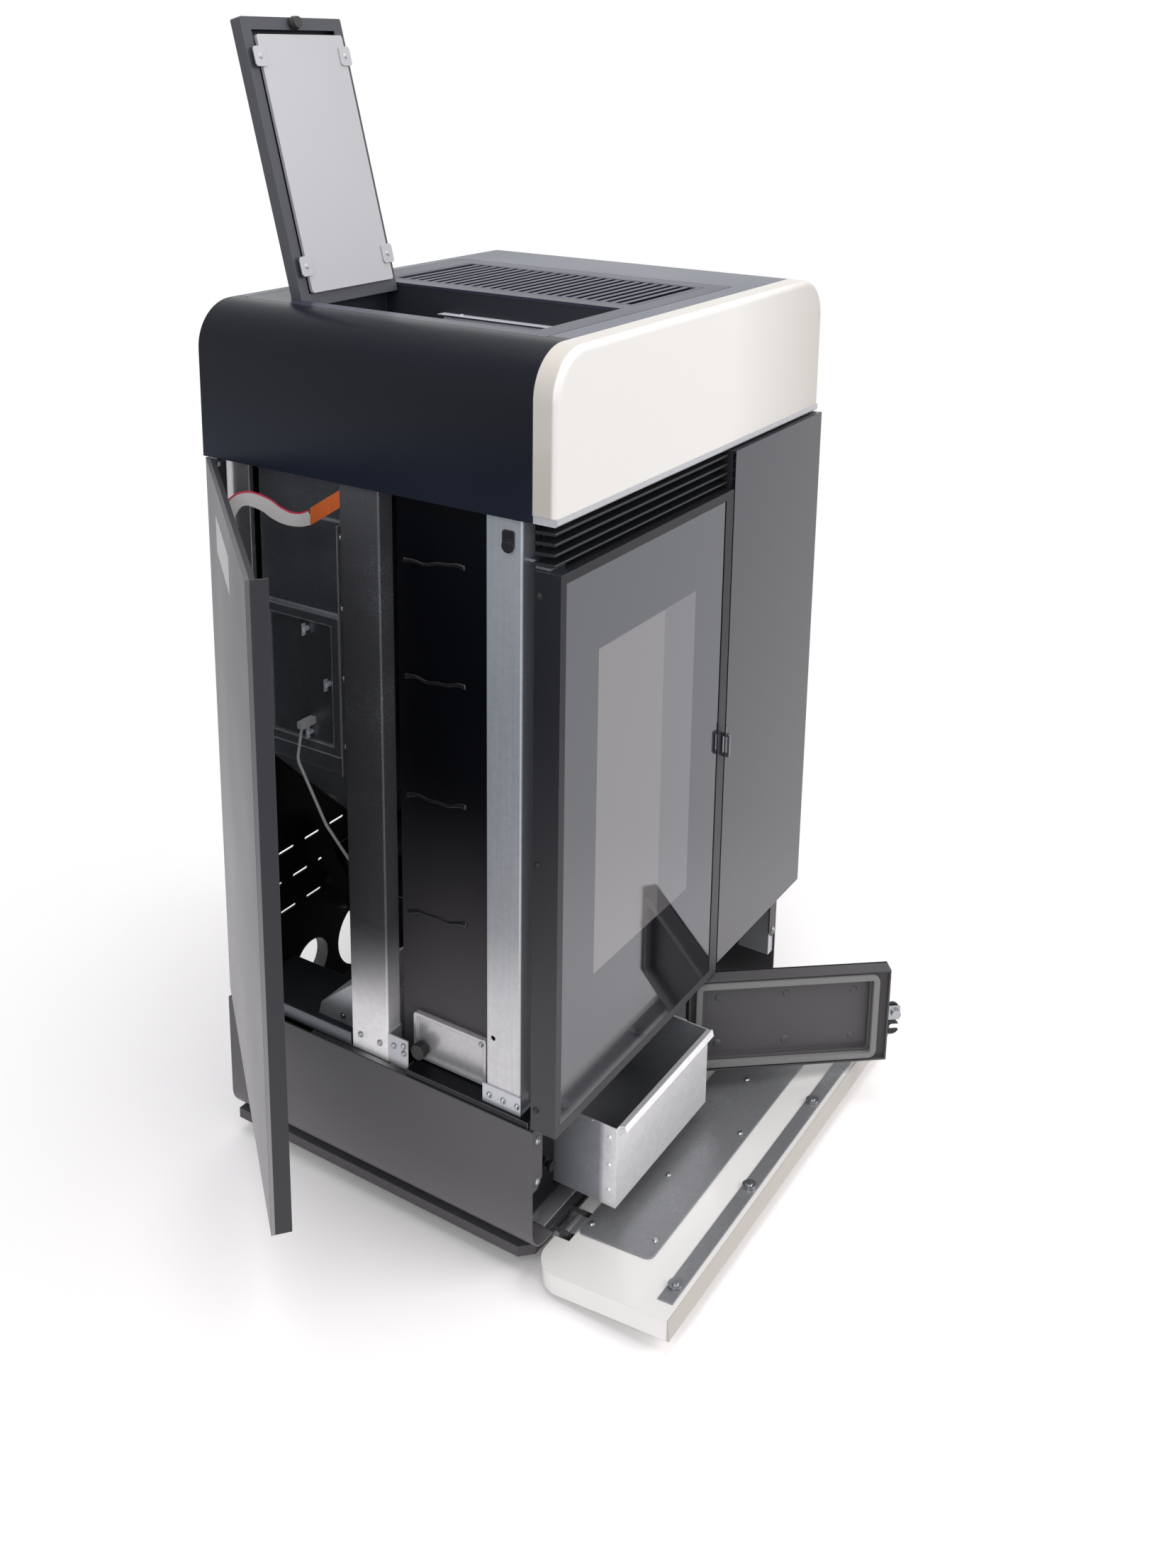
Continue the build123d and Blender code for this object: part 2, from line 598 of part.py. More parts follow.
def fire_window_glass():
    y0 = DOOR_FACE + 0.4 + PANE + 3
    return block(
        WINDOW_X[0] - 20, WINDOW_X[1] + 20, y0, y0 + PANE, WINDOW_Z[0] - 20, WINDOW_Z[1] + 20
    )


def door_gasket():
    """Rope seal round the fire window, on the inside of the door."""
    y0 = DOOR_BACK
    outer = rounded(WINDOW_X[0] - 22, WINDOW_X[1] + 22, WINDOW_Z[0] - 22, WINDOW_Z[1] + 22, 14)
    inner = rounded(WINDOW_X[0] - 12, WINDOW_X[1] + 12, WINDOW_Z[0] - 12, WINDOW_Z[1] + 12, 6)
    return along_y(outer - inner, y0 - 9, FIRE_Y[0] - 0.1 - FIRE_FACE - SEAT)


def glass_door_pins():
    """Upper and lower hinge pins of the glass door, each on its angle."""
    x, y = DOOR_AXIS
    low, high = DOOR_BOTTOM - 0.5, DOOR_TOP + 0.5
    foot = block(x - 7, x + 7, y - 6, FRONT - 1, low - 2.5, low)
    foot += block(x - 7, x + 7, FRONT - 2.8, FRONT - 1, BASE_TOP - 30, low)
    foot += rod((x, y, low), (0, 0, 1), DOOR_PIN, 9)
    head = block(x - 6, LEFT + 30, y - 6, FRONT - 2, high, high + 3)
    head += block(LEFT + 18, LEFT + 30, FRONT - 3, FRONT_POST_Y[0] - 0.1, high, high + 3)
    head += rod((x, y, high), (0, 0, -1), DOOR_PIN, 9)
    return foot, head


def door_handle():
    """Flat loop that stands out at the free edge of the door, with a thin pin above it."""
    x, y = DOOR_RIGHT - 7, DOOR_FACE
    z = (DOOR_BOTTOM + DOOR_TOP) / 2 - 1.5
    loop = rounded(y - 11, y - 0.1, z - 14.5, z + 14.5, 2.5) - area(y - 8.5, y - 2.5, z - 11, z + 11)
    return along_x(loop, x - 2, x + 2) + rod((x, y - 5.5, z + 14), (0, 0, 1), 1.2, 11)


# ---------------------------------------------------------------- side door, drawn shut
SIDE_FACE = LEFT - 3
SIDE_AXIS = (SIDE_FACE + 12, SIDE_REAR - 8)
DISPLAY_Y = (SIDE_REAR - DISPLAY_T[1], SIDE_REAR - DISPLAY_T[0])


def side_tray():
    """Folded tray: deep front and rear edges, shallow ends with a wide eye at the hinge."""
    x0, x1 = SIDE_FACE + PANE, SIDE_FACE + SIDE_DEPTH
    y0, y1, z0, z1 = SIDE_FRONT, SIDE_REAR, SIDE_BOTTOM, SIDE_TOP
    tray = block(x0, x1, y0, y1, z0, z1)
    tray -= block(x0 + SHEET, x1 + 1, y0 + SHEET, y1 - SHEET, z0 + SHEET, z1 - SHEET)
    tray -= block(x0 + 5, x1 + 1, y0 + SHEET, y1 - 17, z0 - 1, z1 + 1)
    return tray


def side_door_frame():
    """Folded tray of the service door, with its hinge eyes and the display opening."""
    tray = side_tray()
    tray -= block(
        SIDE_FACE, LEFT + 5, DISPLAY_Y[0] + 4, DISPLAY_Y[1] - 4, DISPLAY_Z[0] + 4, DISPLAY_Z[1] - 4
    )
    for z in (SIDE_BOTTOM, SIDE_TOP - SHEET):
        tray -= rod((*SIDE_AXIS, z - 1), (0, 0, 1), SIDE_PIN + FIT, SHEET + 2)
    return tray


def side_door_glass():
    glass = block(SIDE_FACE, SIDE_FACE + PANE, SIDE_FRONT, SIDE_REAR, SIDE_BOTTOM, SIDE_TOP)
    return glass - block(SIDE_FACE - 1, SIDE_FACE + 1.5, *DISPLAY_Y, *DISPLAY_Z)


def display_window():
    y0, y1, z0, z1 = DISPLAY_Y[0] + 0.5, DISPLAY_Y[1] - 0.5, DISPLAY_Z[0] + 0.5, DISPLAY_Z[1] - 0.5
    return block(SIDE_FACE, SIDE_FACE + 1.4, y0, y1, z0, z1)


def display_module():
    """Control board box behind the display window, inside the service door."""
    x0 = SIDE_FACE + PANE + SHEET + 0.1
    y0, y1 = DISPLAY_Y[0] - 6, DISPLAY_Y[1] + 6
    box = block(x0, x0 + 4.3, y0, y1, DISPLAY_Z[0] - 12, DISPLAY_Z[1] + 8)
    return fillet(box.edges().filter_by(Axis.X), 3)


def side_door_pins():
    """Upper and lower hinge pins of the service door, on angles that reach the rear post."""
    x, y = SIDE_AXIS
    pieces = []
    for z, way in ((SIDE_BOTTOM - SEAT, 1), (SIDE_TOP + SEAT, -1)):
        arm = block(x - 6, LEFT + 26 - 0.1, y - 6, y + 5, min(z, z - 2 * way), max(z, z - 2 * way))
        pieces.append(arm + rod((x, y, z), (0, 0, way), SIDE_PIN, 9))
    return pieces


def side_swung(piece):
    return swung(piece, (*SIDE_AXIS, 0), (0, 0, -1), SIDE_OPEN)


# ---------------------------------------------------------------- pellet lid, drawn shut
LID_AXIS = (LID_Y[1] - 5.0, TOP_HEIGHT - 6.0)


def lid_frame():
    """Folded lid: top sheet with four turned-down edges."""
    top = TOP_HEIGHT
    x0, x1 = LID_X
    y0, y1 = LID_Y[0], LID_Y[1]
    outer = along_z(rounded(x0, x1, y0, y1, 2.5), top - LID_HEIGHT, top)
    inner = block(x0 + 2, x1 - 2, y0 + 2, y1 - 2, top - LID_HEIGHT - 1, top - LID_SHEET)
    edge = area(x0 + 2, x1 - 2, y0 + 2, y1 - 2) - area(x0 + 14, x1 - 14, y0 + 14, y1 - 14)
    lid = outer - inner + along_z(edge, top - LID_HEIGHT, top - LID_HEIGHT + LID_SHEET)
    for x in (x0 - 1, x1 - 3):
        lid -= rod((x, *LID_AXIS), (1, 0, 0), LID_PIN + FIT, 4)
    return lid


def lid_liner():
    """Galvanised plate on the underside of the lid."""
    top = TOP_HEIGHT - LID_HEIGHT
    x0, x1, y0, y1 = LID_X[0] + 16, LID_X[1] - 8, LID_Y[0] + 20, LID_Y[1] - 14
    return along_z(rounded(x0, x1, y0, y1, 3), top - 4, top - 0.2)


def lid_clips():
    """Four rounded tabs that hold the liner, each with its screw."""
    low = TOP_HEIGHT - LID_HEIGHT - 4
    pieces = []
    for x, inward in ((LID_X[0] + 14, 1), (LID_X[1] - 10.5, -1)):
        for y in (LID_Y[0] + 44, LID_Y[1] - 44):
            tab = along_z(rounded(x - 9, x + 9, y - 11, y + 11, 4), low - 1.5, low - 0.1)
            pieces.append(tab + pan_head((x, y, low - 1.5), (0, 0, -1), 3))
    return pieces


def lid_knob():
    x, y, z = (LID_X[0] + LID_X[1]) / 2, LID_Y[0] + 7, TOP_HEIGHT - LID_HEIGHT
    return rod((x, y, z), (0, 0, -1), 6, 3) + cone((x, y, z - 3), (0, 0, -1), 8, 6.5, 6)


def lid_swung(piece):
    return swung(piece, (0, *LID_AXIS), (1, 0, 0), -LID_OPEN)


def lid_pins():
    """Two pins from the walls of the throat into the sides of the lid."""
    pieces = []
    for x, way in ((LID_X[0] - 3, 1), (LID_X[1] + 3, -1)):
        pieces.append(rod((x + 0.1 * way, *LID_AXIS), (way, 0, 0), LID_PIN, 7))
    return pieces


# ---------------------------------------------------------------- hopper
def hopper_collar():
    """Throat under the filling opening, open to the hopper at the rear."""
    x0, x1 = LID_X[0] - 3, LID_X[1] + 3
    y0, y1 = LID_Y[0] - 3, LID_Y[1] + LID_REAR_GAP + 2
    high = TOP_HEIGHT - PLATE_SHEET - 0.3
    low = HOPPER_Z[1]
    ring = area(x0 - THIN, x1 + THIN, y0 - THIN, y1 + THIN) - area(x0, x1, y0, y1)
    skirt = area(x0 - THIN, x1 + THIN, y0 - THIN, HOPPER_Y[0] - 0.2) - area(x0, x1, y0, HOPPER_Y[0] + 1)
    return along_z(ring, low, high) + along_z(skirt, FIRE_Z[1] + 2, low + 1)


def chute_plate():
    """Pale plate that slides the pellets back into the hopper."""
    x0, x1 = LID_X[0] - 2.5, LID_X[1] - 12
    y0, y1 = LID_Y[0] - 2.5, HOPPER_Y[0] - 0.5
    high, low = HOPPER_Z[1] + 20, FIRE_Z[1] + 18
    slope = make_face(Polyline((y0, high), (y1, low), (y1, low - THIN), (y0, high - THIN), close=True))
    return along_x(slope, x0, x1)


def hopper_guard():
    """Galvanised bar with its screws along the right side of the throat."""
    x1 = LID_X[1] + 2.8
    bar = block(x1 - 14, x1, LID_Y[0] + 10, LID_Y[1] - 80, HOPPER_Z[1] + 12, HOPPER_Z[1] + 14)
    bar += block(x1 - THIN, x1, LID_Y[0] + 10, LID_Y[1] - 80, HOPPER_Z[1] + 4, HOPPER_Z[1] + 12)
    for y in (LID_Y[0] + 40, LID_Y[1] - 110):
        bar += pan_head((x1 - 7, y, HOPPER_Z[1] + 14), (0, 0, 1))
    return bar


def hopper_box():
    """Pellet box with a screwed front flange and a roof behind the throat."""
    x0, x1 = HOPPER_X
    y0, y1 = HOPPER_Y
    z0, z1 = HOPPER_Z
    wall = area(x0, x1, y0, y1) - area(x0 + THIN, x1 - THIN, y0 + THIN, y1 - THIN)
    body = along_z(wall, z0, z1 - 0.2)
    body += block(x0, x1, LID_Y[1] + LID_REAR_GAP + 2, y1, z1 - 0.2 - THIN, z1 - 0.2)
    body += block(x0, LID_X[0] - 3, y0, y1, z1 - 0.2 - THIN, z1 - 0.2)
    body += block(x0 - 14, x0 + 1, y0, y0 + THIN, z0 + 6, z0 + 302)
    mouth = block(LID_X[0] - 3, LID_X[1] + 2, y0 - 1, y0 + THIN + 1, FIRE_Z[1] + 14, z1)
    return body - mouth


def hopper_screws():
    """Row of screws down the front flange."""
    x, y = HOPPER_X[0] - 7, HOPPER_Y[0]
    rows = [HOPPER_Z[0] + 41 + 82.3 * n for n in range(4)]
    return heads([(x, y - 0.1, z) for z in rows], (0, -1, 0))


def hopper_funnel():
    """Four sloping sides down to the mouth of the feed tube."""
    x0, x1 = HOPPER_X
    y0, y1 = HOPPER_Y
    high, low = HOPPER_Z[0] - 0.2, FUNNEL_BOTTOM
    cx, cy = (x0 + x1) / 2, FUNNEL_Y
    m = FUNNEL_MOUTH / 2
    t = 2.0
    upper = Pos(0, 0, high) * area(x0, x1, y0, y1)
    lower = Pos(0, 0, low) * area(cx - m, cx + m, cy - m, cy + m)
    outer = loft([upper, lower])
    upper = Pos(0, 0, high + 0.01) * area(x0 + t, x1 - t, y0 + t, y1 - t)
    lower = Pos(0, 0, low - 0.01) * area(cx - m + t, cx + m - t, cy - m + t, cy + m - t)
    return outer - loft([upper, lower])


COVER_Y = (HOPPER_Y[0] + 19.0, HOPPER_Y[1] - 5.0)
COVER_Z = (HOPPER_Z[0] + 35.0, HOPPER_Z[0] + 180.0)


def cover_frame():
    """Raised frame round the inspection opening in the hopper side."""
    x1 = HOPPER_X[0] - 0.1
    outer = rounded(COVER_Y[0] - 12, COVER_Y[1] + 4, COVER_Z[0] - 12, COVER_Z[1] + 12, 4)
    inner = rounded(COVER_Y[0], COVER_Y[1] - 8, COVER_Z[0], COVER_Z[1], 3)
    return along_x(outer - inner, x1 - 7, x1)


def cover_plate():
    x1 = HOPPER_X[0] - 0.1
    return along_x(rounded(COVER_Y[0] + 1, COVER_Y[1] - 9, COVER_Z[0] + 1, COVER_Z[1] - 1, 3), x1 - 4, x1)


def wing_screws():
    """Three hand screws of the inspection cover."""
    x = HOPPER_X[0] - 4.1
    pieces = []
    y0, z0 = COVER_Y[0], COVER_Z[0]
    for y, z in ((y0 + 37, COVER_Z[1] - 10), (y0 + 6, z0 + 75), (y0 + 35, z0 + 10)):
        stem = rod((x, y, z), (-1, 0, 0), 3, 7)
        wings = block(x - 9, x - 4, y - 1, y + 1, z - 7, z + 7)
        pieces.append(stem + wings)
    return pieces


# ---------------------------------------------------------------- feed screw and its drive
AUGER_X = sum(HOPPER_X) / 2
AUGER_LOW = Vector(AUGER_X, HOPPER_Y[0] + 70.0, FUNNEL_BOTTOM - 74.0)
AUGER_HIGH = Vector(AUGER_X, FIRE_Y[1] - 16.0, POT_FLOOR + 127.7)
AUGER_WAY = (AUGER_HIGH - AUGER_LOW).normalized()
AUGER_LENGTH = (AUGER_HIGH - AUGER_LOW).length


def auger_tube():
    """Sloping feed tube with a mouth under the funnel, open into the fire box."""
    tube = rod(AUGER_LOW, AUGER_WAY, AUGER_TUBE, AUGER_LENGTH)
    cy, m = FUNNEL_Y, FUNNEL_MOUTH / 2
    neck = block(AUGER_X - m, AUGER_X + m, cy - m, cy + m, FUNNEL_BOTTOM - 46, FUNNEL_BOTTOM - 0.2)
    low, t = FUNNEL_BOTTOM - 51, 2.0
    neck_hole = block(AUGER_X - m + t, AUGER_X + m - t, cy - m + t, cy + m - t, low, FUNNEL_BOTTOM + 1)
    bore = rod(AUGER_LOW + AUGER_WAY * 3, AUGER_WAY, AUGER_TUBE - AUGER_WALL, AUGER_LENGTH)
    return tube + neck - bore - neck_hole - rod(AUGER_LOW - AUGER_WAY, AUGER_WAY, AUGER_SHAFT + FIT, 8)


def auger_screw():
    """Shaft with a helical flight, the moving part of the feed."""
    run = AUGER_LENGTH - 24
    shaft = Cylinder(AUGER_SHAFT, AUGER_LENGTH + 18, align=(Align.CENTER, Align.CENTER, Align.MIN))
    helix = Helix(AUGER_PITCH, run, (AUGER_SHAFT + AUGER_SCREW) / 2)
    profile = Plane(origin=helix @ 0, z_dir=helix % 0, x_dir=(1, 0, 0)) * Rectangle(
        AUGER_SCREW - AUGER_SHAFT + 2, 2.4
    )
    flight = sweep(profile, path=helix, is_frenet=True)
    base = Plane(origin=AUGER_LOW - AUGER_WAY * 22, x_dir=(1, 0, 0), z_dir=AUGER_WAY)
    return base.location * (shaft + Pos(0, 0, 32) * flight)


def auger_motor():
    """Gear motor that hangs on the low end of the feed tube."""
    base = Plane(origin=AUGER_LOW - AUGER_WAY * 0.4, x_dir=(1, 0, 0), z_dir=AUGER_WAY * -1)
    low = (Align.CENTER, Align.CENTER, Align.MIN)
    gearbox = base.location * Pos(0, 10, 0) * Box(60, 78, 26, align=low)
    motor = base.location * Pos(0, 22, 26) * Cylinder(24, 32, align=low)
    bore = rod(AUGER_LOW + AUGER_WAY, AUGER_WAY * -1, AUGER_SHAFT + FIT, 24)
    return gearbox + motor - bore


# ---------------------------------------------------------------- fire body
def fire_sides():
    """Side plates of the welded fire body, the left one with the guide of the scraper pull."""
    y0, y1 = FIRE_Y
    left = block(FIRE_X[0], FIRE_X[0] + FIRE_WALL, y0, y1, *FIRE_Z)
    left -= rod((FIRE_X[0] - 1, *LEVER_AT), (1, 0, 0), LEVER_ROD + FIT, 38)
    return left, block(FIRE_X[1] - FIRE_WALL, FIRE_X[1], y0, y1, *FIRE_Z)


def fire_rear():
    """Rear plate with the hole of the feed tube, and the two plates round the ash shaft."""
    w = FIRE_WALL
    x0, x1 = FIRE_X[0] + w, FIRE_X[1] - w
    y0, y1 = FIRE_Y
    rear = block(x0, x1, y1 - w, y1, FIRE_Z[0], FIRE_CAVITY_Z[1])
    rear -= rod(AUGER_HIGH - AUGER_WAY * 60, AUGER_WAY, AUGER_TUBE + SEAT, 90)
    return rear, block(x0, x1, y0, y0 + w, FIRE_Z[0], FIRE_CAVITY_Z[0] - w)


def fire_floor():
    """Floor of the fire box with the mouth of the ash shaft."""
    w = FIRE_WALL
    floor = area(FIRE_X[0] + w, FIRE_X[1] - w, FIRE_Y[0], FIRE_Y[1] - w)
    mouth = area(PAN_X[0] + 14, PAN_X[1] - 14, FIRE_Y[0] + 26, FIRE_Y[1] - 30)
    return along_z(floor - mouth, FIRE_CAVITY_Z[0] - w, FIRE_CAVITY_Z[0])


def smoke_block():
    """Welded upper box of the fire body with its five upright smoke tubes."""
    w = FIRE_WALL
    x0, x1 = FIRE_X[0] + w, FIRE_X[1] - w
    y0, y1 = FIRE_Y
    z0, z1 = FIRE_CAVITY_Z[1], FIRE_Z[1]
    body = block(x0, x1, y0, y1, z0, z1) - block(x0 - 1, x1 + 1, y0 + w, y1 - w, z0 + w, z1 - w)
    centres = [x0 + SMOKE_SIDE + SMOKE_PITCH * n for n in range(5)]
    for x in centres:
        body += rod((x, (y0 + y1) / 2, z0), (0, 0, 1), SMOKE_TUBE, z1 - z0)
    for x in centres:
        body -= rod((x, (y0 + y1) / 2, z0 - 1), (0, 0, 1), SMOKE_TUBE - 3, z1 - z0 + 2)
    return body


def fire_face():
    """Front flange of the fire body that the door seal closes on."""
    y1 = FIRE_Y[0] - 0.1
    outer = area(FIRE_X[0] + 2, FIRE_X[1] + 2, WINDOW_Z[0] - FACE_BELOW, WINDOW_Z[1] + FACE_ABOVE)
    window = area(*WINDOW_X, *WINDOW_Z)
    return along_y(outer - window, y1 - FIRE_FACE, y1)


def fire_lining():
    """Ribbed cast back plate of the fire box."""
    x0, x1 = FIRE_X[0] + FIRE_WALL + 1, FIRE_X[1] - FIRE_WALL - 1
    y1 = FIRE_Y[1] - FIRE_WALL - 1
    plate = block(x0, x1, y1 - 6, y1, FIRE_CAVITY_Z[0] + 1, FIRE_CAVITY_Z[1] - 1)
    low, high = FIRE_CAVITY_Z[0] + RIB_BELOW, FIRE_CAVITY_Z[1] - RIB_ABOVE
    for n in range(9):
        x = x0 + RIB_SIDE + n * (x1 - x0 - 2 * RIB_SIDE) / 8
        plate += block(x - 5, x + 5, y1 - 11, y1 - 6, low, high)
    return plate - rod(AUGER_HIGH - AUGER_WAY * 60, AUGER_WAY, AUGER_TUBE + 1, 90)


def pot_outline(margin, radius):
    """Outline of the pot, grown or shrunk all round by a margin."""
    width, depth = POT_WIDTH + 2 * margin, POT_DEPTH + 2 * margin
    return Pos(AUGER_X, POT_Y) * RectangleRounded(width, depth, radius)


def burn_pot():
    """Cast pot with air holes in its floor and a wide rim."""
    z, high = POT_FLOOR, POT_FLOOR + POT_HEIGHT
    inner = pot_outline(-POT_WALL, 5)
    pot = along_z(pot_outline(0, 8), z, high) - along_z(inner, z + POT_WALL, high + 1)
    pot += along_z(pot_outline(8, 12) - inner, high - 5, high)
    for i in range(-2, 3):
        for j in range(-1, 2):
            pot -= rod((AUGER_X + 18 * i, POT_Y + 24 * j, z - 1), (0, 0, 1), 3, POT_WALL + 2)
    return pot


def pot_seat():
    """Plate that carries the pot over the ash shaft."""
    x0, x1 = FIRE_X[0] + FIRE_WALL + 0.5, FIRE_X[1] - FIRE_WALL - 0.5
    y0, y1 = FIRE_Y[0] + 1, FIRE_Y[1] - FIRE_WALL - 8
    z1 = POT_FLOOR + POT_HEIGHT - 5
    seat = along_z(area(x0, x1, y0, y1) - pot_outline(1, 8), z1 - 4, z1)
    for x in (x0, x1 - 3):
        seat += block(x, x + 3, y0, y1, FIRE_CAVITY_Z[0], z1 - 4)
    return seat


def inspection_plate():
    """Galvanised cover of the ash shaft, low on the left side of the fire body."""
    x1 = FIRE_X[0] - 0.1
    y0, y1, z0, z1 = FIRE_Y[0] + 61, FIRE_Y[1] - 18, FIRE_Z[0] + 2, FIRE_Z[0] + 58
    plate = along_x(rounded(y0, y1, z0, z1, 4), x1 - 3, x1)
    rim = rounded(y0, y1, z0, z1, 4) - rounded(y0 + 4, y1 - 4, z0 + 4, z1 - 4, 3)
    return plate + along_x(rim, x1 - 6, x1 - 3)


# ---------------------------------------------------------------- ash compartment
def ash_box():
    """Black box in the base that the pan slides into, with a front flange for the ash door."""
    x0, x1 = PAN_X[0] - 4, PAN_X[1] + 4
    z0, z1 = PAN_Z[0] - 2, PAN_Z[1] + 4
    y0, y1 = FRONT + 24, FRONT + 24 + PAN_DEPTH + 24
    w = SHEET
    box = block(x0 - w, x1 + w, y0, y1, z0 - w, z1 + w) - block(x0, x1, y0 - 1, y1 - w, z0, z1 + w + 1)
    flange = area(FIRE_X[0], x1 + 54, z0 - 9, z1 + 24) - area(x0, x1, z0, z1)
    box += along_y(flange, y0 - w, y0)
    catch = (LATCH_AT[0] - LATCH_REACH, y0 - w, LATCH_AT[1])
    box += rod(catch, (0, -1, 0), 3.6, 25) + rod(catch, (0, -1, 0), 6, 19)
    box += rod((catch[0], ASH_HINGE[1] - 4.4, catch[2]), (0, -1, 0), 6, 3)
    legs = block(x0 + 20, x0 + 40, y0 + 20, y1 - 20, RAIL_TOP + THIN, z0 - w)
    legs += block(x1 - 40, x1 - 20, y0 + 20, y1 - 20, RAIL_TOP + THIN, z0 - w)
    for x in (PAN_X[0] + 24, PAN_X[1] - 34):
        box += block(x, x + 10, y0 + 8, y1 - w, z0, PAN_Z[0])
    return box + legs


def ash_shaft():
    """Sheet shaft that leads the ash down into the pan, hung on a plate under the fire body."""
    x0, x1 = PAN_X[0] + 2, PAN_X[1] - 2
    y0, y1 = FRONT + 30, FIRE_Y[1] - FIRE_WALL - 10
    low, high = PAN_Z[1] + 7, FIRE_Z[0]
    mouth = area(x0 + 2, x1 - 2, y0 + 2, y1 - 2)
    shaft = along_z(area(x0, x1, y0, y1) - mouth, low, high)
    plate = area(FIRE_X[0] + FIRE_WALL, FIRE_X[1], *FIRE_Y)
    return shaft + along_z(plate - mouth, high - SHEET, high)


def fire_legs():
    """Angles that carry the fire body on the base floor."""
    pieces = []
    for x in (FIRE_X[0] + 14, FIRE_X[1] - 4):
        for y in (FIRE_Y[0] + 16, FIRE_Y[1] - 26):
            angle = area(x, x + 18, y, y + 18) - area(x + 3, x + 19, y + 3, y + 19)
            pieces.append(along_z(angle, RAIL_TOP + THIN, FIRE_Z[0] - SHEET))
    return pieces


def ash_pan():
    """Drawer of galvanised sheet with a turned front lip and rivets."""
    x0, x1 = PAN_X
    z0, z1 = PAN_Z
    y0 = PAN_IN - PAN_OUT
    y1 = y0 + PAN_DEPTH
    t = PAN_SHEET
    pan = block(x0, x1, y0, y1, z0, z1) - block(x0 + t, x1 - t, y0 + t, y1 - t, z0 + t, z1 + 1)
    lip = make_face(
        Polyline(
            (y0 + t, z1 - t),
            (y0 + t, z1),
            (y0 - 7, z1 + 3),
            (y0 - 9, z1 - 5),
            (y0 - 8, z1 - 5.5),
            (y0 - 6.5, z1 + 1),
            close=True,
        )
    )
    pan += along_x(lip, x0 + 6, x1 - 2)
    rim = area(x0 - 2, x1 + 2, y0 + 30, y1) - area(x0 + t, x1 - t, y0 + 29, y1 - t)
    pan += along_z(rim, z1 - t, z1)
    for z in (z0 + 20, z0 + 52, z1 - 14):
        pan += pan_head((x0, y0 + 9, z), (-1, 0, 0), 2.5)
    return pan


# ---------------------------------------------------------------- ash door, drawn shut
def ash_door_shell():
    """Pressed door with turned edges, a raised field and the eyes of its hinge."""
    hx, hy = ASH_HINGE
    x0, x1 = hx - ASH_LENGTH, hx - 7
    y0, y1 = hy - 2, hy - 2 + ASH_THICK
    z0, z1 = ASH_Z
    t = SHEET
    shell = block(x0, x1, y0, y1, z0, z1)
    shell -= block(x0 + t, x1 - t, y0 + t, y1 + 1, z0 + t, z1 - t)
    flange = area(x0 + t, x1 - t, z0 + t, z1 - t) - area(x0 + 22, x1 - 17, z0 + 13, z1 - 13)
    shell += along_y(flange, y1 - 8, y1 - 6)
    for z in (z0 + 16, z1 - 32):
        eye = rod((hx, hy, z), (0, 0, 1), ASH_PIN + 3, 16) + block(x1 - 1, hx, hy - 2, hy, z, z + 16)
        shell += eye
        shell -= rod((hx, hy, z - 1), (0, 0, 1), ASH_PIN + FIT, 18)
    return shell


def ash_door_liner():
    """Recessed inner pan of the ash door with its dimples."""
    hx, hy = ASH_HINGE
    x0, x1 = hx - ASH_LENGTH + 22.1, hx - 24.1
    y1 = hy - 2 + ASH_THICK - 6
    z0, z1 = ASH_Z[0] + 13.1, ASH_Z[1] - 13.1
    rim = along_y(rounded(x0, x1, z0, z1, 5) - rounded(x0 + 3, x1 - 3, z0 + 3, z1 - 3, 3), y1 - 7, y1 + 2)
    plate = along_y(rounded(x0 + 3, x1 - 3, z0 + 3, z1 - 3, 3), y1 - 7, y1 - 5.5)
    for x in (x0 + 22, (x0 + x1) / 2, x1 - 22):
        for z in (z0 + 18, z1 - 18):
            plate += cone((x, y1 - 5.5, z), (0, 1, 0), 5, 3.5, 1.5)
    return rim + plate


def ash_door_gasket():
    """Rope seal laid in the rim of the ash door."""
    hx, hy = ASH_HINGE
    y1 = hy - 2 + ASH_THICK
    x0, x1, z0, z1 = hx - ASH_LENGTH + 14, hx - 16, ASH_Z[0] + 5, ASH_Z[1] - 5
    outer = rounded(x0, x1, z0, z1, 10)
    inner = rounded(x0 + 7.5, x1 - 7.5, z0 + 7.5, z1 - 7.5, 3)
    rope = along_y(outer - inner, y1 - 5.9, y1 + 1.5)
    return rope


LATCH_AT = (ASH_HINGE[0] - ASH_LENGTH - 12.0, (ASH_Z[0] + ASH_Z[1]) / 2 - 4)
LATCH_REACH = 26.0


def latch_bolt():
    """Pivot of the latch hook on a tab at the free edge of the ash door."""
    x, z = LATCH_AT
    hy = ASH_HINGE[1]
    tab = block(x - 6, x + 12, hy + 6, hy + 9, z - 9, z + 9)
    bolt = rod((x, hy + 9, z), (0, -1, 0), 3.5, 15) + rod((x, hy + 9, z), (0, 1, 0), 6, 4)
    return tab + bolt + rod((x, hy - 4.4, z), (0, -1, 0), 6.5, 3)


def latch_hook():
    """Flat hook that turns up to the catch; its slot opens towards it."""
    x, z = LATCH_AT
    hy = ASH_HINGE[1]
    low = z - LATCH_REACH
    plate = Pos(x, z) * Circle(8) + area(x - 2, x + 6, low, z) + Pos(x + 1, low) * Circle(10)
    plate -= Pos(x, low) * Circle(4.3) + area(x - 13, x, low - 4.3, low + 4.3)
    plate -= Pos(x, z) * Circle(3.5 + FIT)
    return along_y(plate, hy - 4, hy)


def ash_swung(piece):
    return swung(piece, (*ASH_HINGE, 0), (0, 0, 1), ASH_OPEN)


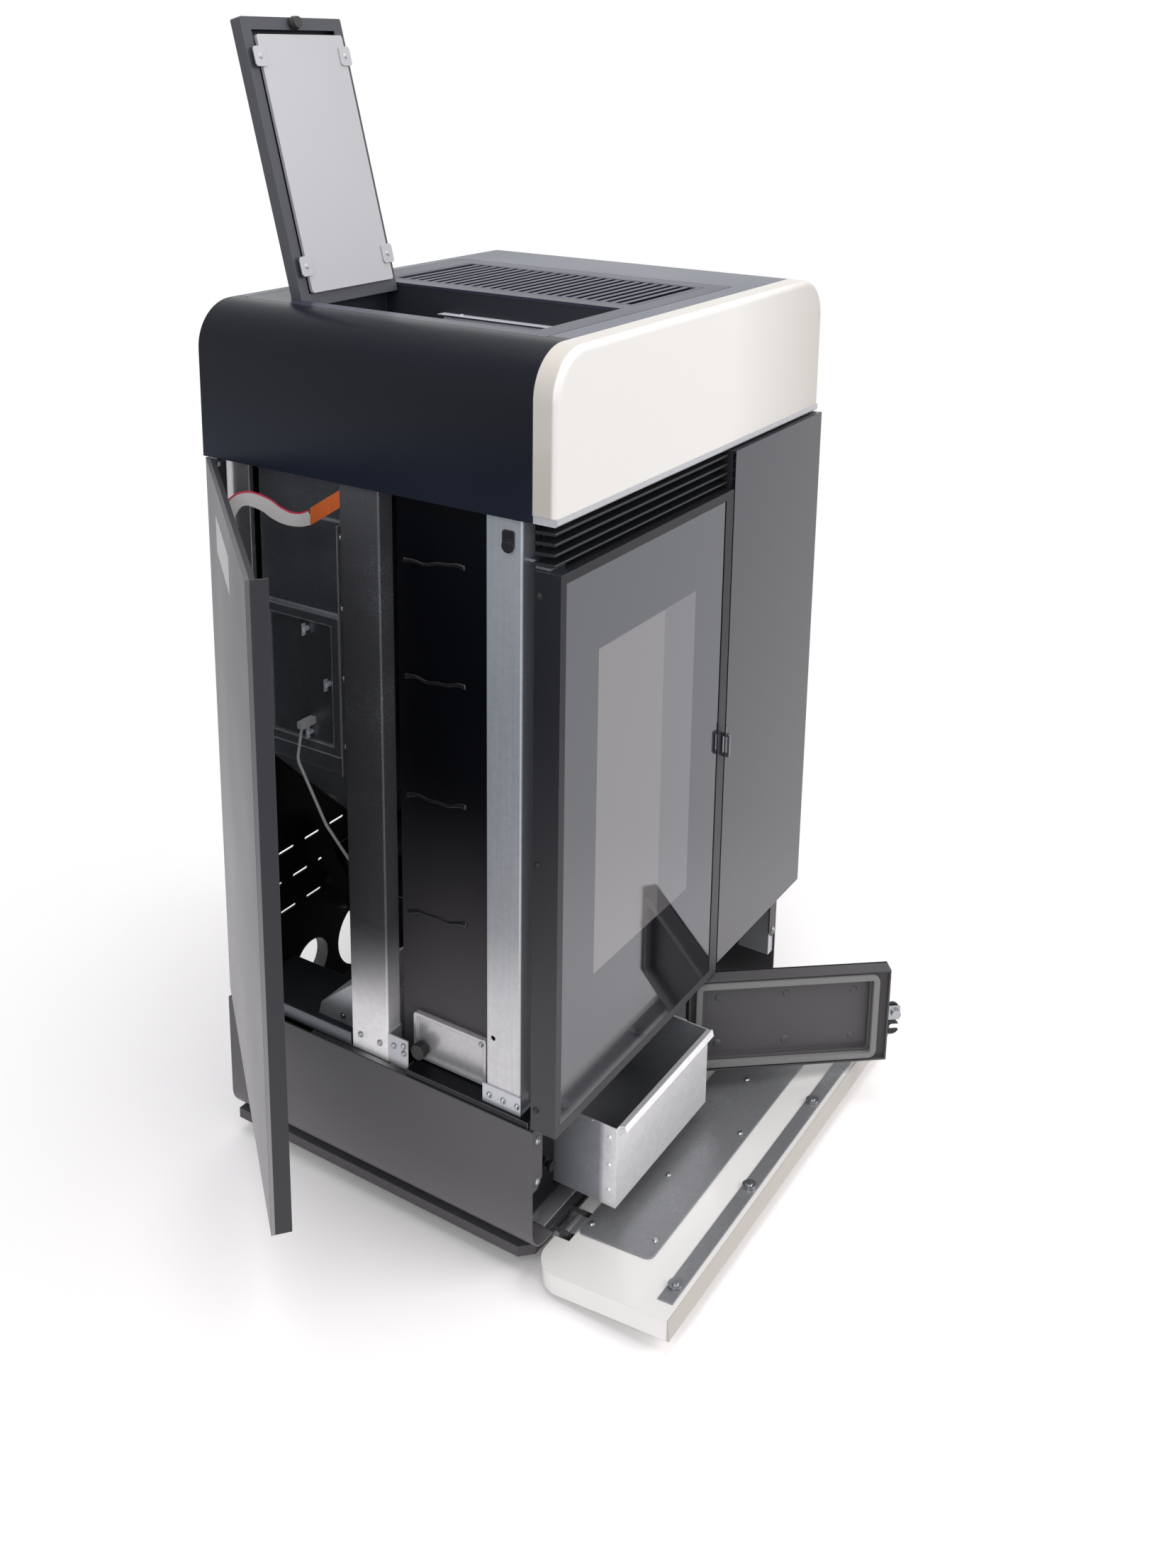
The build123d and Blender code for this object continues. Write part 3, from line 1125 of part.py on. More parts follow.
def ash_door_pins():
    """Two pins of the ash door with the brackets that hold them on the box flange."""
    hx, hy = ASH_HINGE
    pieces = []
    for z in (ASH_Z[0] + 16, ASH_Z[1] - 32):
        pin = rod((hx, hy, z - 5), (0, 0, 1), ASH_PIN, 24)
        foot = block(hx - 5, hx + 14, hy - 2, hy + 12, z - 8, z - 0.5)
        arm = block(hx + 9, hx + 14, hy + 11, FRONT + 22 - 0.1, z - 8, z + 10)
        pieces.append(pin + foot + arm)
    return pieces


# ---------------------------------------------------------------- lower flap, drawn shut
def flap_shell():
    """Cream pan with round lower corners, turned edges and an open rear."""
    hy, hz = FLAP_HINGE
    x0, x1 = LEFT - 6, RIGHT
    z0, z1 = hz - FLAP_BELOW, hz + FLAP_HEIGHT
    y0, y1 = hy - FLAP_FRONT, hy - FLAP_FRONT + FLAP_THICK
    outline = area(x0, x1, z0, z1)
    outline = fillet(outline.vertices().group_by(Axis.Y)[0], FLAP_CORNER)
    solid = along_y(outline, y0, y1)
    t = FLAP_SHEET
    hollow = area(x0 + t, x1 - t, z0 + t, z1 - t)
    hollow = fillet(hollow.vertices().group_by(Axis.Y)[0], FLAP_CORNER - t)
    shell = solid - along_y(hollow, y0 + t, y1 - 1.2)
    for x in FLAP_EYES:
        shell -= block(x - 11, x + 39, hy - 9, hy + 20, hz - 10, hz + 11)
    return shell


def flap_stiffener():
    """Galvanised plate screwed to the inside of the flap."""
    hy, hz = FLAP_HINGE
    y1 = hy - FLAP_FRONT + FLAP_THICK
    plate = rounded(LEFT + 60, RIGHT - 60, hz + 12, hz + 106, 8)
    return along_y(plate, y1 + 0.1, y1 + 1.6)


def flap_strip():
    """Steel strip near the upper edge that the magnets sit on."""
    hy, hz = FLAP_HINGE
    y1 = hy - FLAP_FRONT + FLAP_THICK
    top = hz + FLAP_HEIGHT
    return along_y(area(LEFT + 16, RIGHT - 22, top - 24, top - 6), y1 + 0.1, y1 + 1.3)


def flap_magnets():
    """Round catches on the strip."""
    hy, hz = FLAP_HINGE
    y1 = hy - FLAP_FRONT + FLAP_THICK + 1.3
    z = hz + FLAP_HEIGHT - 16
    pieces = []
    for x in (LEFT + 40, LEFT + 213, RIGHT - 213, RIGHT - 40):
        pieces.append(rod((x, y1 + 0.1, z), (0, 1, 0), 8, 3) + rod((x, y1 + 3.1, z), (0, 1, 0), 4, 1.5))
    return pieces


def flap_screws():
    hy, hz = FLAP_HINGE
    y1 = hy - FLAP_FRONT + FLAP_THICK + 1.6
    points = []
    for x, rise in ((LEFT + 78, 20), (LEFT + 88, 96), (LEFT + 188, 56), (LEFT + 292, 96)):
        points.append((x, y1 + 0.1, hz + rise))
    for x, rise in ((RIGHT - 210, 56), (RIGHT - 120, 96), (RIGHT - 80, 20)):
        points.append((x, y1 + 0.1, hz + rise))
    return heads(points, (0, 1, 0), 3.5)


def flap_hinge_leaves():
    """Hinge leaves of the flap with their eyes on the hinge line."""
    hy, hz = FLAP_HINGE
    y1 = hy - FLAP_FRONT + FLAP_THICK
    pieces = []
    for x in FLAP_EYES:
        leaf = rod((x, hy, hz), (1, 0, 0), FLAP_PIN + 3, 28)
        leaf += block(x, x + 28, y1 + 0.1, y1 + 1.6, hz, hz + 11.7)
        leaf -= rod((x - 1, hy, hz), (1, 0, 0), FLAP_PIN + FIT, 30)
        pieces.append(leaf)
    return pieces


def flap_pins():
    """Hinge pins of the flap between lugs on the front of the rail."""
    hy, hz = FLAP_HINGE
    pieces = []
    for x in FLAP_EYES:
        pin = rod((x - 7, hy, hz), (1, 0, 0), FLAP_PIN, 42)
        pin += block(x - 7, x - 1, hy - 5, FRONT + GAP - 0.1, hz - 5, hz + 5)
        pin += block(x + 29, x + 35, hy - 5, FRONT + GAP - 0.1, hz - 5, hz + 5)
        pieces.append(pin)
    return pieces


def flap_swung(piece):
    return swung(piece, (0, *FLAP_HINGE), (1, 0, 0), FLAP_OPEN)


# ---------------------------------------------------------------- smoke side and services
def smoke_housing():
    """Cast housing of the smoke fan, open to its outlet."""
    x, z = FLUE_AT
    y1 = REAR - 14
    scroll = rod((x, y1 - 60, z), (0, 1, 0), SCROLL, 60) + block(x, x + SCROLL, y1 - 60, y1, z - SCROLL, z)
    scroll -= rod((x, y1 - 54, z), (0, 1, 0), SCROLL - 8, 48)
    return scroll - rod((x, y1 - 70, z), (0, 1, 0), 5 + FIT, 20) - rod((x, y1 - 7, z), (0, 1, 0), FLUE - 1.5, 9)


def smoke_spigot():
    """Smoke outlet through the rear panel, for an 80 mm pipe."""
    x, z = FLUE_AT
    y0 = REAR - 14
    return rod((x, y0, z), (0, 1, 0), FLUE, 54) - rod((x, y0 - 1, z), (0, 1, 0), FLUE - 1.5, 56)


def smoke_wheel():
    """Backward-curved fan wheel on its shaft."""
    x, z = FLUE_AT
    y1 = REAR - 14
    wheel = rod((x, y1 - 50, z), (0, 1, 0), 54, 2) + rod((x, y1 - 50, z), (0, 1, 0), 10, 20)
    blade = block(18, 52, y1 - 48.5, y1 - 22, -1, 1).rotate(Axis((18, 0, 0), (0, 1, 0)), 35)
    for n in range(8):
        wheel += Pos(x, 0, z) * blade.rotate(Axis((0, 0, 0), (0, 1, 0)), 45 * n)
    return wheel + rod((x, y1 - 78, z), (0, 1, 0), 5, 30)


def smoke_motor():
    x, z = FLUE_AT
    y1 = REAR - 14 - 60
    can = rod((x, y1 - 44, z), (0, 1, 0), 34, 40) + rod((x, y1 - 5, z), (0, 1, 0), 20, 4.8)
    return can - rod((x, y1 - 20, z), (0, 1, 0), 5 + FIT, 24)


def air_tube():
    """Flanged collar of the combustion air inlet, on the outside of the rear panel."""
    x, z = AIR_AT
    y0 = REAR - 2 * GAP
    collar = rod((x, y0 - SHEET, z), (0, 1, 0), AIR, 18) + rod((x, y0 + 0.1, z), (0, 1, 0), AIR + 8, 1.6)
    return collar - rod((x, y0 - 2 * SHEET, z), (0, 1, 0), AIR - 1.5, 22)


def power_inlet():
    """Mains inlet with its switch, low on the rear panel."""
    x, z, y = RIGHT - 60.0, 110.0, REAR - 2 * GAP
    body = block(x - 24, x + 24, y + 0.1, y + 4, z - 16, z + 16)
    socket = block(x - 21, x + 3, y + 1.5, y + 5, z - 9, z + 9)
    rocker = block(x + 8, x + 19, y + 4, y + 6, z - 9, z + 9)
    return body - socket + rocker


def control_box():
    """Closed electronics box on the right of the fire body."""
    box = block(DOOR_RIGHT + 10, RIGHT - 90, REAR - 227, REAR - 137, DECK_Z + THIN, DECK_Z + 120)
    return fillet(box.edges().filter_by(Axis.Z), 4)


DUCT_Y = FIRE_Y[1] + 14       # front of the slanted duct


def air_duct():
    """Slanted galvanised duct on the deck beside the feed."""
    x0, x1 = LEFT + 34, LEFT + 124
    low, y, z = DECK_Z + THIN, DUCT_Y, DECK_Z + 74
    outline = [(y + 118, low), (y + 114, z - 56), (y + 47, z), (y, z), (y, low)]
    outer = along_x(make_face(Polyline(*outline, close=True)), x0, x1)
    inner = [(y + 113, low - 1), (y + 111, z - 57), (y + 46, z - 3), (y + 3, z - 3), (y + 3, low - 1)]
    return outer - along_x(make_face(Polyline(*inner, close=True)), x0 + THIN, x1 - THIN)


def cleaning_lever():
    """Rod, collar and small tab of the pull that works the scrapers of the smoke passages."""
    x = LEFT + POST_FACE_IN - 0.4
    y, z = LEVER_AT
    tab = along_x(rounded(y - 7, y + 7, z - 3, z + 16, 3), x - 1.6, x)
    stub = rod((x - 1.5, y, z), (-1, 0, 0), 7, 1.2) + rod((x - 2.6, y, z), (-1, 0, 0), 4.6, 1.5)
    return tab + stub + rod((x - 1, y, z), (1, 0, 0), LEVER_ROD, 56)


def inspection_knob():
    """Threaded hand knob of the inspection plate."""
    x, y, z = FIRE_X[0] - 3.4, FIRE_Y[1] - 32.0, FIRE_Z[0] + 18.0
    return rod((x, y, z), (-1, 0, 0), 3, 6) + rod((x - 5, y, z), (-1, 0, 0), 9, 10)


def sensor_cable():
    """Thin white lead from its clip on the hopper down to the duct."""
    x = LEFT + 38
    high, low, fall = COVER_Y[0] + 32, DUCT_Y + 36, COVER_Y[0] - DUCT_Y - 4
    clip = block(x - 3, HOPPER_X[0] - 4.2, high - 4, high + 4, COVER_Z[0] + 21, COVER_Z[0] + 29)
    path = FilletPolyline(
        (x, high, COVER_Z[0] + 21.5),
        (x, high + 8, COVER_Z[0] - 19),
        (x, low + 0.67 * fall, COVER_Z[0] - 89),
        (x, low + 0.26 * fall, COVER_Z[0] - 130),
        (x, low, COVER_Z[0] - 195),
        (x, low, DECK_Z + 74.2),
        radius=(18, 30, 30, 30),
    )
    lead = sweep(Plane(origin=path @ 0, z_dir=path % 0) * Circle(1.8), path=path)
    return clip + lead


LEAD_Z = DISPLAY_Z[0] + 30.0
PLUG_TILT = 32.7              # degrees that the connector rises to the front


def display_plug():
    """Flat connector of the display lead, clipped aslant behind the middle post."""
    x, y = LEFT + 10, MID_POST_Y[1] + 42
    plate = along_x(rounded(y - 60, y + 8, LEAD_Z - 8, LEAD_Z + 8, 2), x, x + 2)
    plate = swung(plate, (x, y, LEAD_Z), (1, 0, 0), -PLUG_TILT)
    return plate & block(x - 1, x + 3, MID_POST_Y[1] + 0.2, y, LEAD_Z - 60, LEAD_Z + 90)


def display_lead():
    """Flat ribbon from the display box to its connector."""
    x, y, z = LEFT + 11, MID_POST_Y[1] + 42.2, LEAD_Z
    corner = side_swung(Pos(LEFT + 8, SIDE_REAR - 94, z) * Sphere(1)).center()
    path = FilletPolyline((x, y, z), (x, y + 22.8, z), (corner.X, corner.Y, z), radius=16)
    start = Plane(origin=path @ 0, x_dir=(1, 0, 0), z_dir=path % 0)
    return sweep(start * Rectangle(0.8, 17), path=path)


# ---------------------------------------------------------------- the whole stove
def right_glass():
    """Fixed glass panels on the right of the front and on the right side."""
    side = block(SIDE_FACE, SIDE_FACE + PANE, SIDE_FRONT, SIDE_REAR, SIDE_BOTTOM, SIDE_TOP)
    return right_front_glass(), mirrored(side)


def right_side_tray():
    """Fixed twin of the service door, on spacers against the posts."""
    tray = side_tray()
    for y in (FRONT_POST_Y[0] + 12, MID_POST_Y[0] + 16):
        for share in (0.16, 0.82):
            z = SIDE_BOTTOM + (SIDE_TOP - SIDE_BOTTOM) * share
            tray += block(SIDE_FACE + PANE + 1, LEFT + POST_FACE_IN, y, y + 20, z, z + 30)
    return mirrored(tray)


def right_trays():
    return right_front_tray(), right_side_tray()


def both(builder):
    """A piece on the left and its mirror image on the right."""
    piece = builder()
    return piece, mirrored(piece)


STANDING = {
    "support_frame": (support_frame,),
    "plinth_rail": (plinth_rail,),
    "base_sides": (lambda: both(base_side),),
    "base_floor": (base_floor,),
    "deck": (deck,),
    "post_feet": (lambda: both(side_sill), mid_post_foot, front_post_foot, corner_bracket),
    "mid_posts": (lambda: both(mid_post),),
    "front_posts": (lambda: both(front_post),),
    "rear_posts": (lambda: both(rear_post),),
    "rear_panel": (lower_rear_panel, upper_rear_panel),
    "top_casing": (top_casing,),
    "top_plate": (top_plate,),
    "top_grille": (top_grille,),
    "front_band": (front_band,),
    "band_lip": (band_lip,),
    "louvre": (louvre_blades, louvre_holder),
    "right_glass": (right_glass,),
    "right_trays": (right_trays,),
    "fire_body": (fire_sides, fire_rear, fire_floor, smoke_block, fire_legs),
    "fire_face": (fire_face,),
    "fire_lining": (fire_lining, pot_seat),
    "burn_pot": (burn_pot,),
    "ash_box": (ash_box, ash_shaft),
    "ash_pan": (ash_pan,),
    "hopper_throat": (hopper_collar, chute_plate, hopper_guard),
    "hopper_box": (hopper_box, hopper_funnel),
    "hopper_screws": (hopper_screws, wing_screws),
    "side_covers": (cover_frame, cover_plate, inspection_plate),
    "inspection_knob": (inspection_knob,),
    "auger_tube": (auger_tube,),
    "auger_screw": (auger_screw,),
    "smoke_housing": (smoke_housing, smoke_spigot),
    "smoke_wheel": (smoke_wheel,),
    "drive_motors": (auger_motor, smoke_motor),
    "air_ducts": (air_tube, air_duct),
    "electrics": (control_box, power_inlet),
    "cleaning_lever": (cleaning_lever,),
    "sensor_cable": (sensor_cable,),
    "display_plug": (display_plug,),
    "display_lead": (display_lead,),
    "hinge_pins": (glass_door_pins, side_door_pins, lid_pins, ash_door_pins, flap_pins),
    "glass_door_frame": (glass_door_frame,),
    "door_glass": (glass_pane, fire_window_glass),
    "pane_holder": (pane_holder,),
    "door_gasket": (door_gasket,),
    "door_handle": (door_handle,),
}
SIDE_DOOR = {
    "side_door_frame": (side_door_frame,),
    "side_door_glass": (side_door_glass,),
    "display": (display_window, display_module),
}
LID = {
    "lid_frame": (lid_frame,),
    "lid_liner": (lid_liner, lid_clips),
    "lid_knob": (lid_knob,),
}
ASH_DOOR = {
    "ash_door_shell": (ash_door_shell,),
    "ash_door_liner": (ash_door_liner,),
    "ash_door_gasket": (ash_door_gasket,),
    "latch_bolt": (latch_bolt,),
    "latch_hook": (latch_hook,),
}
FLAP = {
    "flap_shell": (flap_shell,),
    "flap_plates": (flap_stiffener, flap_strip, flap_hinge_leaves),
    "flap_fasteners": (flap_magnets, flap_screws),
}


def still(piece):
    return piece


def made(builders):
    """Every solid that a row of builders gives."""
    pieces = []
    for builder in builders:
        result = builder()
        pieces += list(result) if isinstance(result, (list, tuple)) else [result]
    return pieces


GROUPS = (
    (still, STANDING),
    (side_swung, SIDE_DOOR),
    (lid_swung, LID),
    (ash_swung, ASH_DOOR),
    (flap_swung, FLAP),
)

for turn, group in GROUPS:
    for name, builders in group.items():
        keep(name, *[turn(piece) for piece in made(builders)])

for name, piece in PARTS.items():
    export_step(piece, f"parts/{name}.step")
    print(name, len(piece.solids()), "solids, valid:", piece.is_valid)
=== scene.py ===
import math

import bmesh
import bpy
from mathutils import Matrix, Vector


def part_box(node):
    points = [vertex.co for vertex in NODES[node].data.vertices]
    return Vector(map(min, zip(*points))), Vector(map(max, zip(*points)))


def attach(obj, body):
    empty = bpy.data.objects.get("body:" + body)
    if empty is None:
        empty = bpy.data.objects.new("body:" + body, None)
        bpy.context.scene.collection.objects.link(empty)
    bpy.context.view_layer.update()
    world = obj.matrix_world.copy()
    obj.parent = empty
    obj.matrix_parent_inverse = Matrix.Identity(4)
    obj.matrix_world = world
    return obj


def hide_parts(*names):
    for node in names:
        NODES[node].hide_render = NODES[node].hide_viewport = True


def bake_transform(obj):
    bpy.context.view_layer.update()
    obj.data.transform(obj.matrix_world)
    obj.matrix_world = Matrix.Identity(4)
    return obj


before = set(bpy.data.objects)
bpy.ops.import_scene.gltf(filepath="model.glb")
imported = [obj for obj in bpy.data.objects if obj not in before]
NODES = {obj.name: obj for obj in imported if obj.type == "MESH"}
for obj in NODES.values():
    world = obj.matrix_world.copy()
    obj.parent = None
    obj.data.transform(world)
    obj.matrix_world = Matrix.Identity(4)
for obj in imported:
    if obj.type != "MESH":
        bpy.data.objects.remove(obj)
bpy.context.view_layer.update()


# ---------------------------------------------------------------- colours and shader nodes
def rgb(r, g, b):
    """A screen colour, 0 to 255, as scene values."""
    shares = (v / 255 for v in (r, g, b))
    return tuple(v / 12.92 if v < 11 / 255 else ((v + 0.055) / 1.055) ** 2.4 for v in shares) + (1.0,)


def feed(tree, source, socket):
    """Feeds an input from another socket, or sets it to a constant."""
    if isinstance(source, (int, float, tuple)):
        socket.default_value = source
    else:
        tree.links.new(source, socket)


def rest_place(tree):
    """The point shaded, in metres in the frame of the rest pose; it stays with a piece that moves."""
    return tree.nodes.new("ShaderNodeTexCoord").outputs["Object"]


def noise(tree, scale, detail, place):
    """Clouds, about as many to the metre as scale says."""
    made = tree.nodes.new("ShaderNodeTexNoise")
    for label, value in (("Scale", scale), ("Detail", detail), ("Vector", place)):
        feed(tree, value, made.inputs[label])
    return made.outputs["Fac"]


def mapped(tree, value, from_low, from_high, to_low=0.0, to_high=1.0, ramp="LINEAR"):
    """A value moved from one range to another, and held at its ends."""
    made = tree.nodes.new("ShaderNodeMapRange")
    made.interpolation_type = ramp
    feed(tree, value, made.inputs["Value"])
    feed(tree, from_low, made.inputs["From Min"])
    feed(tree, from_high, made.inputs["From Max"])
    feed(tree, to_low, made.inputs["To Min"])
    feed(tree, to_high, made.inputs["To Max"])
    return made.outputs["Result"]


def calc(tree, operation, *values):
    """One sum with numbers."""
    made = tree.nodes.new("ShaderNodeMath")
    made.operation = operation
    for value, socket in zip(values, made.inputs):
        feed(tree, value, socket)
    return made.outputs[0]


def vector_calc(tree, operation, *values):
    """One sum with vectors; a length and a dot product are numbers."""
    made = tree.nodes.new("ShaderNodeVectorMath")
    made.operation = operation
    for value, socket in zip(values, made.inputs):
        feed(tree, value, socket)
    return made.outputs["Value" if operation in ("LENGTH", "DOT_PRODUCT") else "Vector"]


def parts_of(tree, vector):
    """The x, y and z of a vector."""
    split = tree.nodes.new("ShaderNodeSeparateXYZ")
    feed(tree, vector, split.inputs[0])
    return list(split.outputs)


def mixed(tree, factor, a, b, blend="MIX"):
    """Two colours mixed; a factor, a colour or a shade may be a socket or a constant."""
    made = tree.nodes.new("ShaderNodeMix")
    made.data_type = "RGBA"
    made.blend_type = blend
    for label, value in (("Factor", factor), ("A", a), ("B", b)):
        feed(tree, value, made.inputs[label])
    return made.outputs["Result"]


def mixed_shader(tree, factor, a, b):
    """Two shaders mixed; with a factor of 1 only the second shows."""
    made = tree.nodes.new("ShaderNodeMixShader")
    for value, socket in zip((factor, a, b), made.inputs):
        feed(tree, value, socket)
    return made.outputs["Shader"]


# ---------------------------------------------------------------- shared effects, as node groups
def new_group(name, inputs, outputs):
    """An empty group; inputs are (label, kind of socket, usual value), outputs (label, kind)."""
    tree = bpy.data.node_groups.new(name, "ShaderNodeTree")
    for label, kind, value in inputs:
        socket = tree.interface.new_socket(label, in_out="INPUT", socket_type=kind)
        socket.default_value = value
    for label, kind in outputs:
        tree.interface.new_socket(label, in_out="OUTPUT", socket_type=kind)
    start = tree.nodes.new("NodeGroupInput").outputs
    end = tree.nodes.new("NodeGroupOutput").inputs
    return tree, start, end


def use(tree, group, **values):
    """Places a group with its own values, and gives its outputs."""
    made = tree.nodes.new("ShaderNodeGroup")
    made.node_tree = group
    for label, value in values.items():
        made.inputs[label.replace("_", " ").capitalize()].default_value = value
    return made.outputs


def grain_group():
    """Fine and broad noise, and upright streaks."""
    broad_scale, streak_scale = 3.5, 260.0
    upright = (1.0, 1.0, 0.03)
    tree, start, end = new_group(
        "grain",
        [("Scale", "NodeSocketFloat", 500.0)],
        [("Fine", "NodeSocketFloat"), ("Broad", "NodeSocketFloat"), ("Streak", "NodeSocketFloat")],
    )
    place = rest_place(tree)
    stretched = vector_calc(tree, "MULTIPLY", place, upright)
    feed(tree, noise(tree, start["Scale"], 3.0, place), end["Fine"])
    feed(tree, noise(tree, broad_scale, 2.0, place), end["Broad"])
    feed(tree, noise(tree, streak_scale, 3.0, stretched), end["Streak"])
    return tree


def tone_group():
    """A colour that runs from one to another with height."""
    tree, start, end = new_group(
        "tone",
        [
            ("Low colour", "NodeSocketColor", (0, 0, 0, 1)),
            ("High colour", "NodeSocketColor", (1, 1, 1, 1)),
            ("Low", "NodeSocketFloat", 0.0),
            ("High", "NodeSocketFloat", 1.0),
        ],
        [("Colour", "NodeSocketColor")],
    )
    height = parts_of(tree, rest_place(tree))[2]
    share = mapped(tree, height, start["Low"], start["High"], ramp="SMOOTHSTEP")
    feed(tree, mixed(tree, share, start["Low colour"], start["High colour"]), end["Colour"])
    return tree


def spangle_group():
    """The crystals of hot-dip zinc, each with its own shade, and the fine bright flecks on them."""
    darkest_crystal = 0.93
    fleck_scale, patch_scale, patch_weight = 900.0, 14.0, 0.5
    no_fleck, full_fleck = 0.86, 1.02
    tree, start, end = new_group(
        "spangle",
        [("Scale", "NodeSocketFloat", 150.0)],
        [("Shade", "NodeSocketFloat"), ("Fleck", "NodeSocketFloat")],
    )
    place = rest_place(tree)
    crystals = tree.nodes.new("ShaderNodeTexVoronoi")
    split = tree.nodes.new("ShaderNodeSeparateColor")
    feed(tree, place, crystals.inputs["Vector"])
    feed(tree, start["Scale"], crystals.inputs["Scale"])
    feed(tree, crystals.outputs["Color"], split.inputs[0])
    feed(tree, mapped(tree, split.outputs[0], 0.0, 1.0, darkest_crystal, 1.0), end["Shade"])
    patches = calc(tree, "MULTIPLY", noise(tree, patch_scale, 2.0, place), patch_weight)
    flecks = calc(tree, "ADD", noise(tree, fleck_scale, 2.0, place), patches)
    feed(tree, mapped(tree, flecks, no_fleck, full_fleck), end["Fleck"])
    return tree


def edge_group():
    """Softly rounded edges: the bent normal, and a mask of where it bends."""
    slight_bend, full_bend = 0.985, 0.80
    tree, start, end = new_group(
        "edge",
        [("Radius", "NodeSocketFloat", 0.0006)],
        [("Normal", "NodeSocketVector"), ("Mask", "NodeSocketFloat")],
    )
    soft = tree.nodes.new("ShaderNodeBevel")
    face = tree.nodes.new("ShaderNodeNewGeometry")
    feed(tree, start["Radius"], soft.inputs["Radius"])
    feed(tree, soft.outputs["Normal"], end["Normal"])
    bend = vector_calc(tree, "DOT_PRODUCT", soft.outputs["Normal"], face.outputs["Normal"])
    feed(tree, mapped(tree, bend, slight_bend, full_bend), end["Mask"])
    return tree


def region_group():
    """Masks of a box in the frame of the rest pose: its inside, and a line along its faces."""
    line_edge, line_core = 1.0, 0.6
    tree, start, end = new_group(
        "region",
        [
            ("Low", "NodeSocketVector", (0, 0, 0)),
            ("High", "NodeSocketVector", (1, 1, 1)),
            ("Border", "NodeSocketFloat", 0.001),
        ],
        [("Inside", "NodeSocketFloat"), ("Line", "NodeSocketFloat")],
    )
    place = rest_place(tree)
    above_low = vector_calc(tree, "SUBTRACT", place, start["Low"])
    below_high = vector_calc(tree, "SUBTRACT", start["High"], place)
    nearest, *others = parts_of(tree, above_low) + parts_of(tree, below_high)
    for gap in others:
        nearest = calc(tree, "MINIMUM", nearest, gap)
    depth = calc(tree, "DIVIDE", nearest, start["Border"])
    feed(tree, mapped(tree, depth, 0.0, 1.0), end["Inside"])
    feed(tree, mapped(tree, calc(tree, "ABSOLUTE", depth), line_edge, line_core), end["Line"])
    return tree


def slab_group():
    """A mask that is 1 inside a thin sheet, given by its normal and its distance from the origin."""
    soft_border = 0.0002
    tree, start, end = new_group(
        "slab",
        [
            ("Normal", "NodeSocketVector", (0.0, 0.0, 1.0)),
            ("Distance", "NodeSocketFloat", 0.0),
            ("Half", "NodeSocketFloat", 0.001),
        ],
        [("Mask", "NodeSocketFloat")],
    )
    along = vector_calc(tree, "DOT_PRODUCT", rest_place(tree), start["Normal"])
    away = calc(tree, "ABSOLUTE", calc(tree, "SUBTRACT", along, start["Distance"]))
    feed(tree, mapped(tree, calc(tree, "SUBTRACT", start["Half"], away), 0.0, soft_border), end["Mask"])
    return tree


GRAIN = grain_group()
TONE = tone_group()
SPANGLE = spangle_group()
EDGE = edge_group()
REGION = region_group()
SLAB = slab_group()

# ---------------------------------------------------------------- finishes
COAT_ROUGH = 0.06
ROUGH_SWING, SMOOTHEST = 0.05, 0.02  # how much a roughness varies, and the least that it may be
PATCHY = (0.3, 0.7)  # the part of a noise's range that counts
FLECK_COLOUR, FLECK_SHARE = rgb(205, 208, 214), 0.35
# how strongly the painted edge colour shows over the face
EDGE_LIGHT_SHARE = 0.7
RELIEF_DEPTH = 0.0004


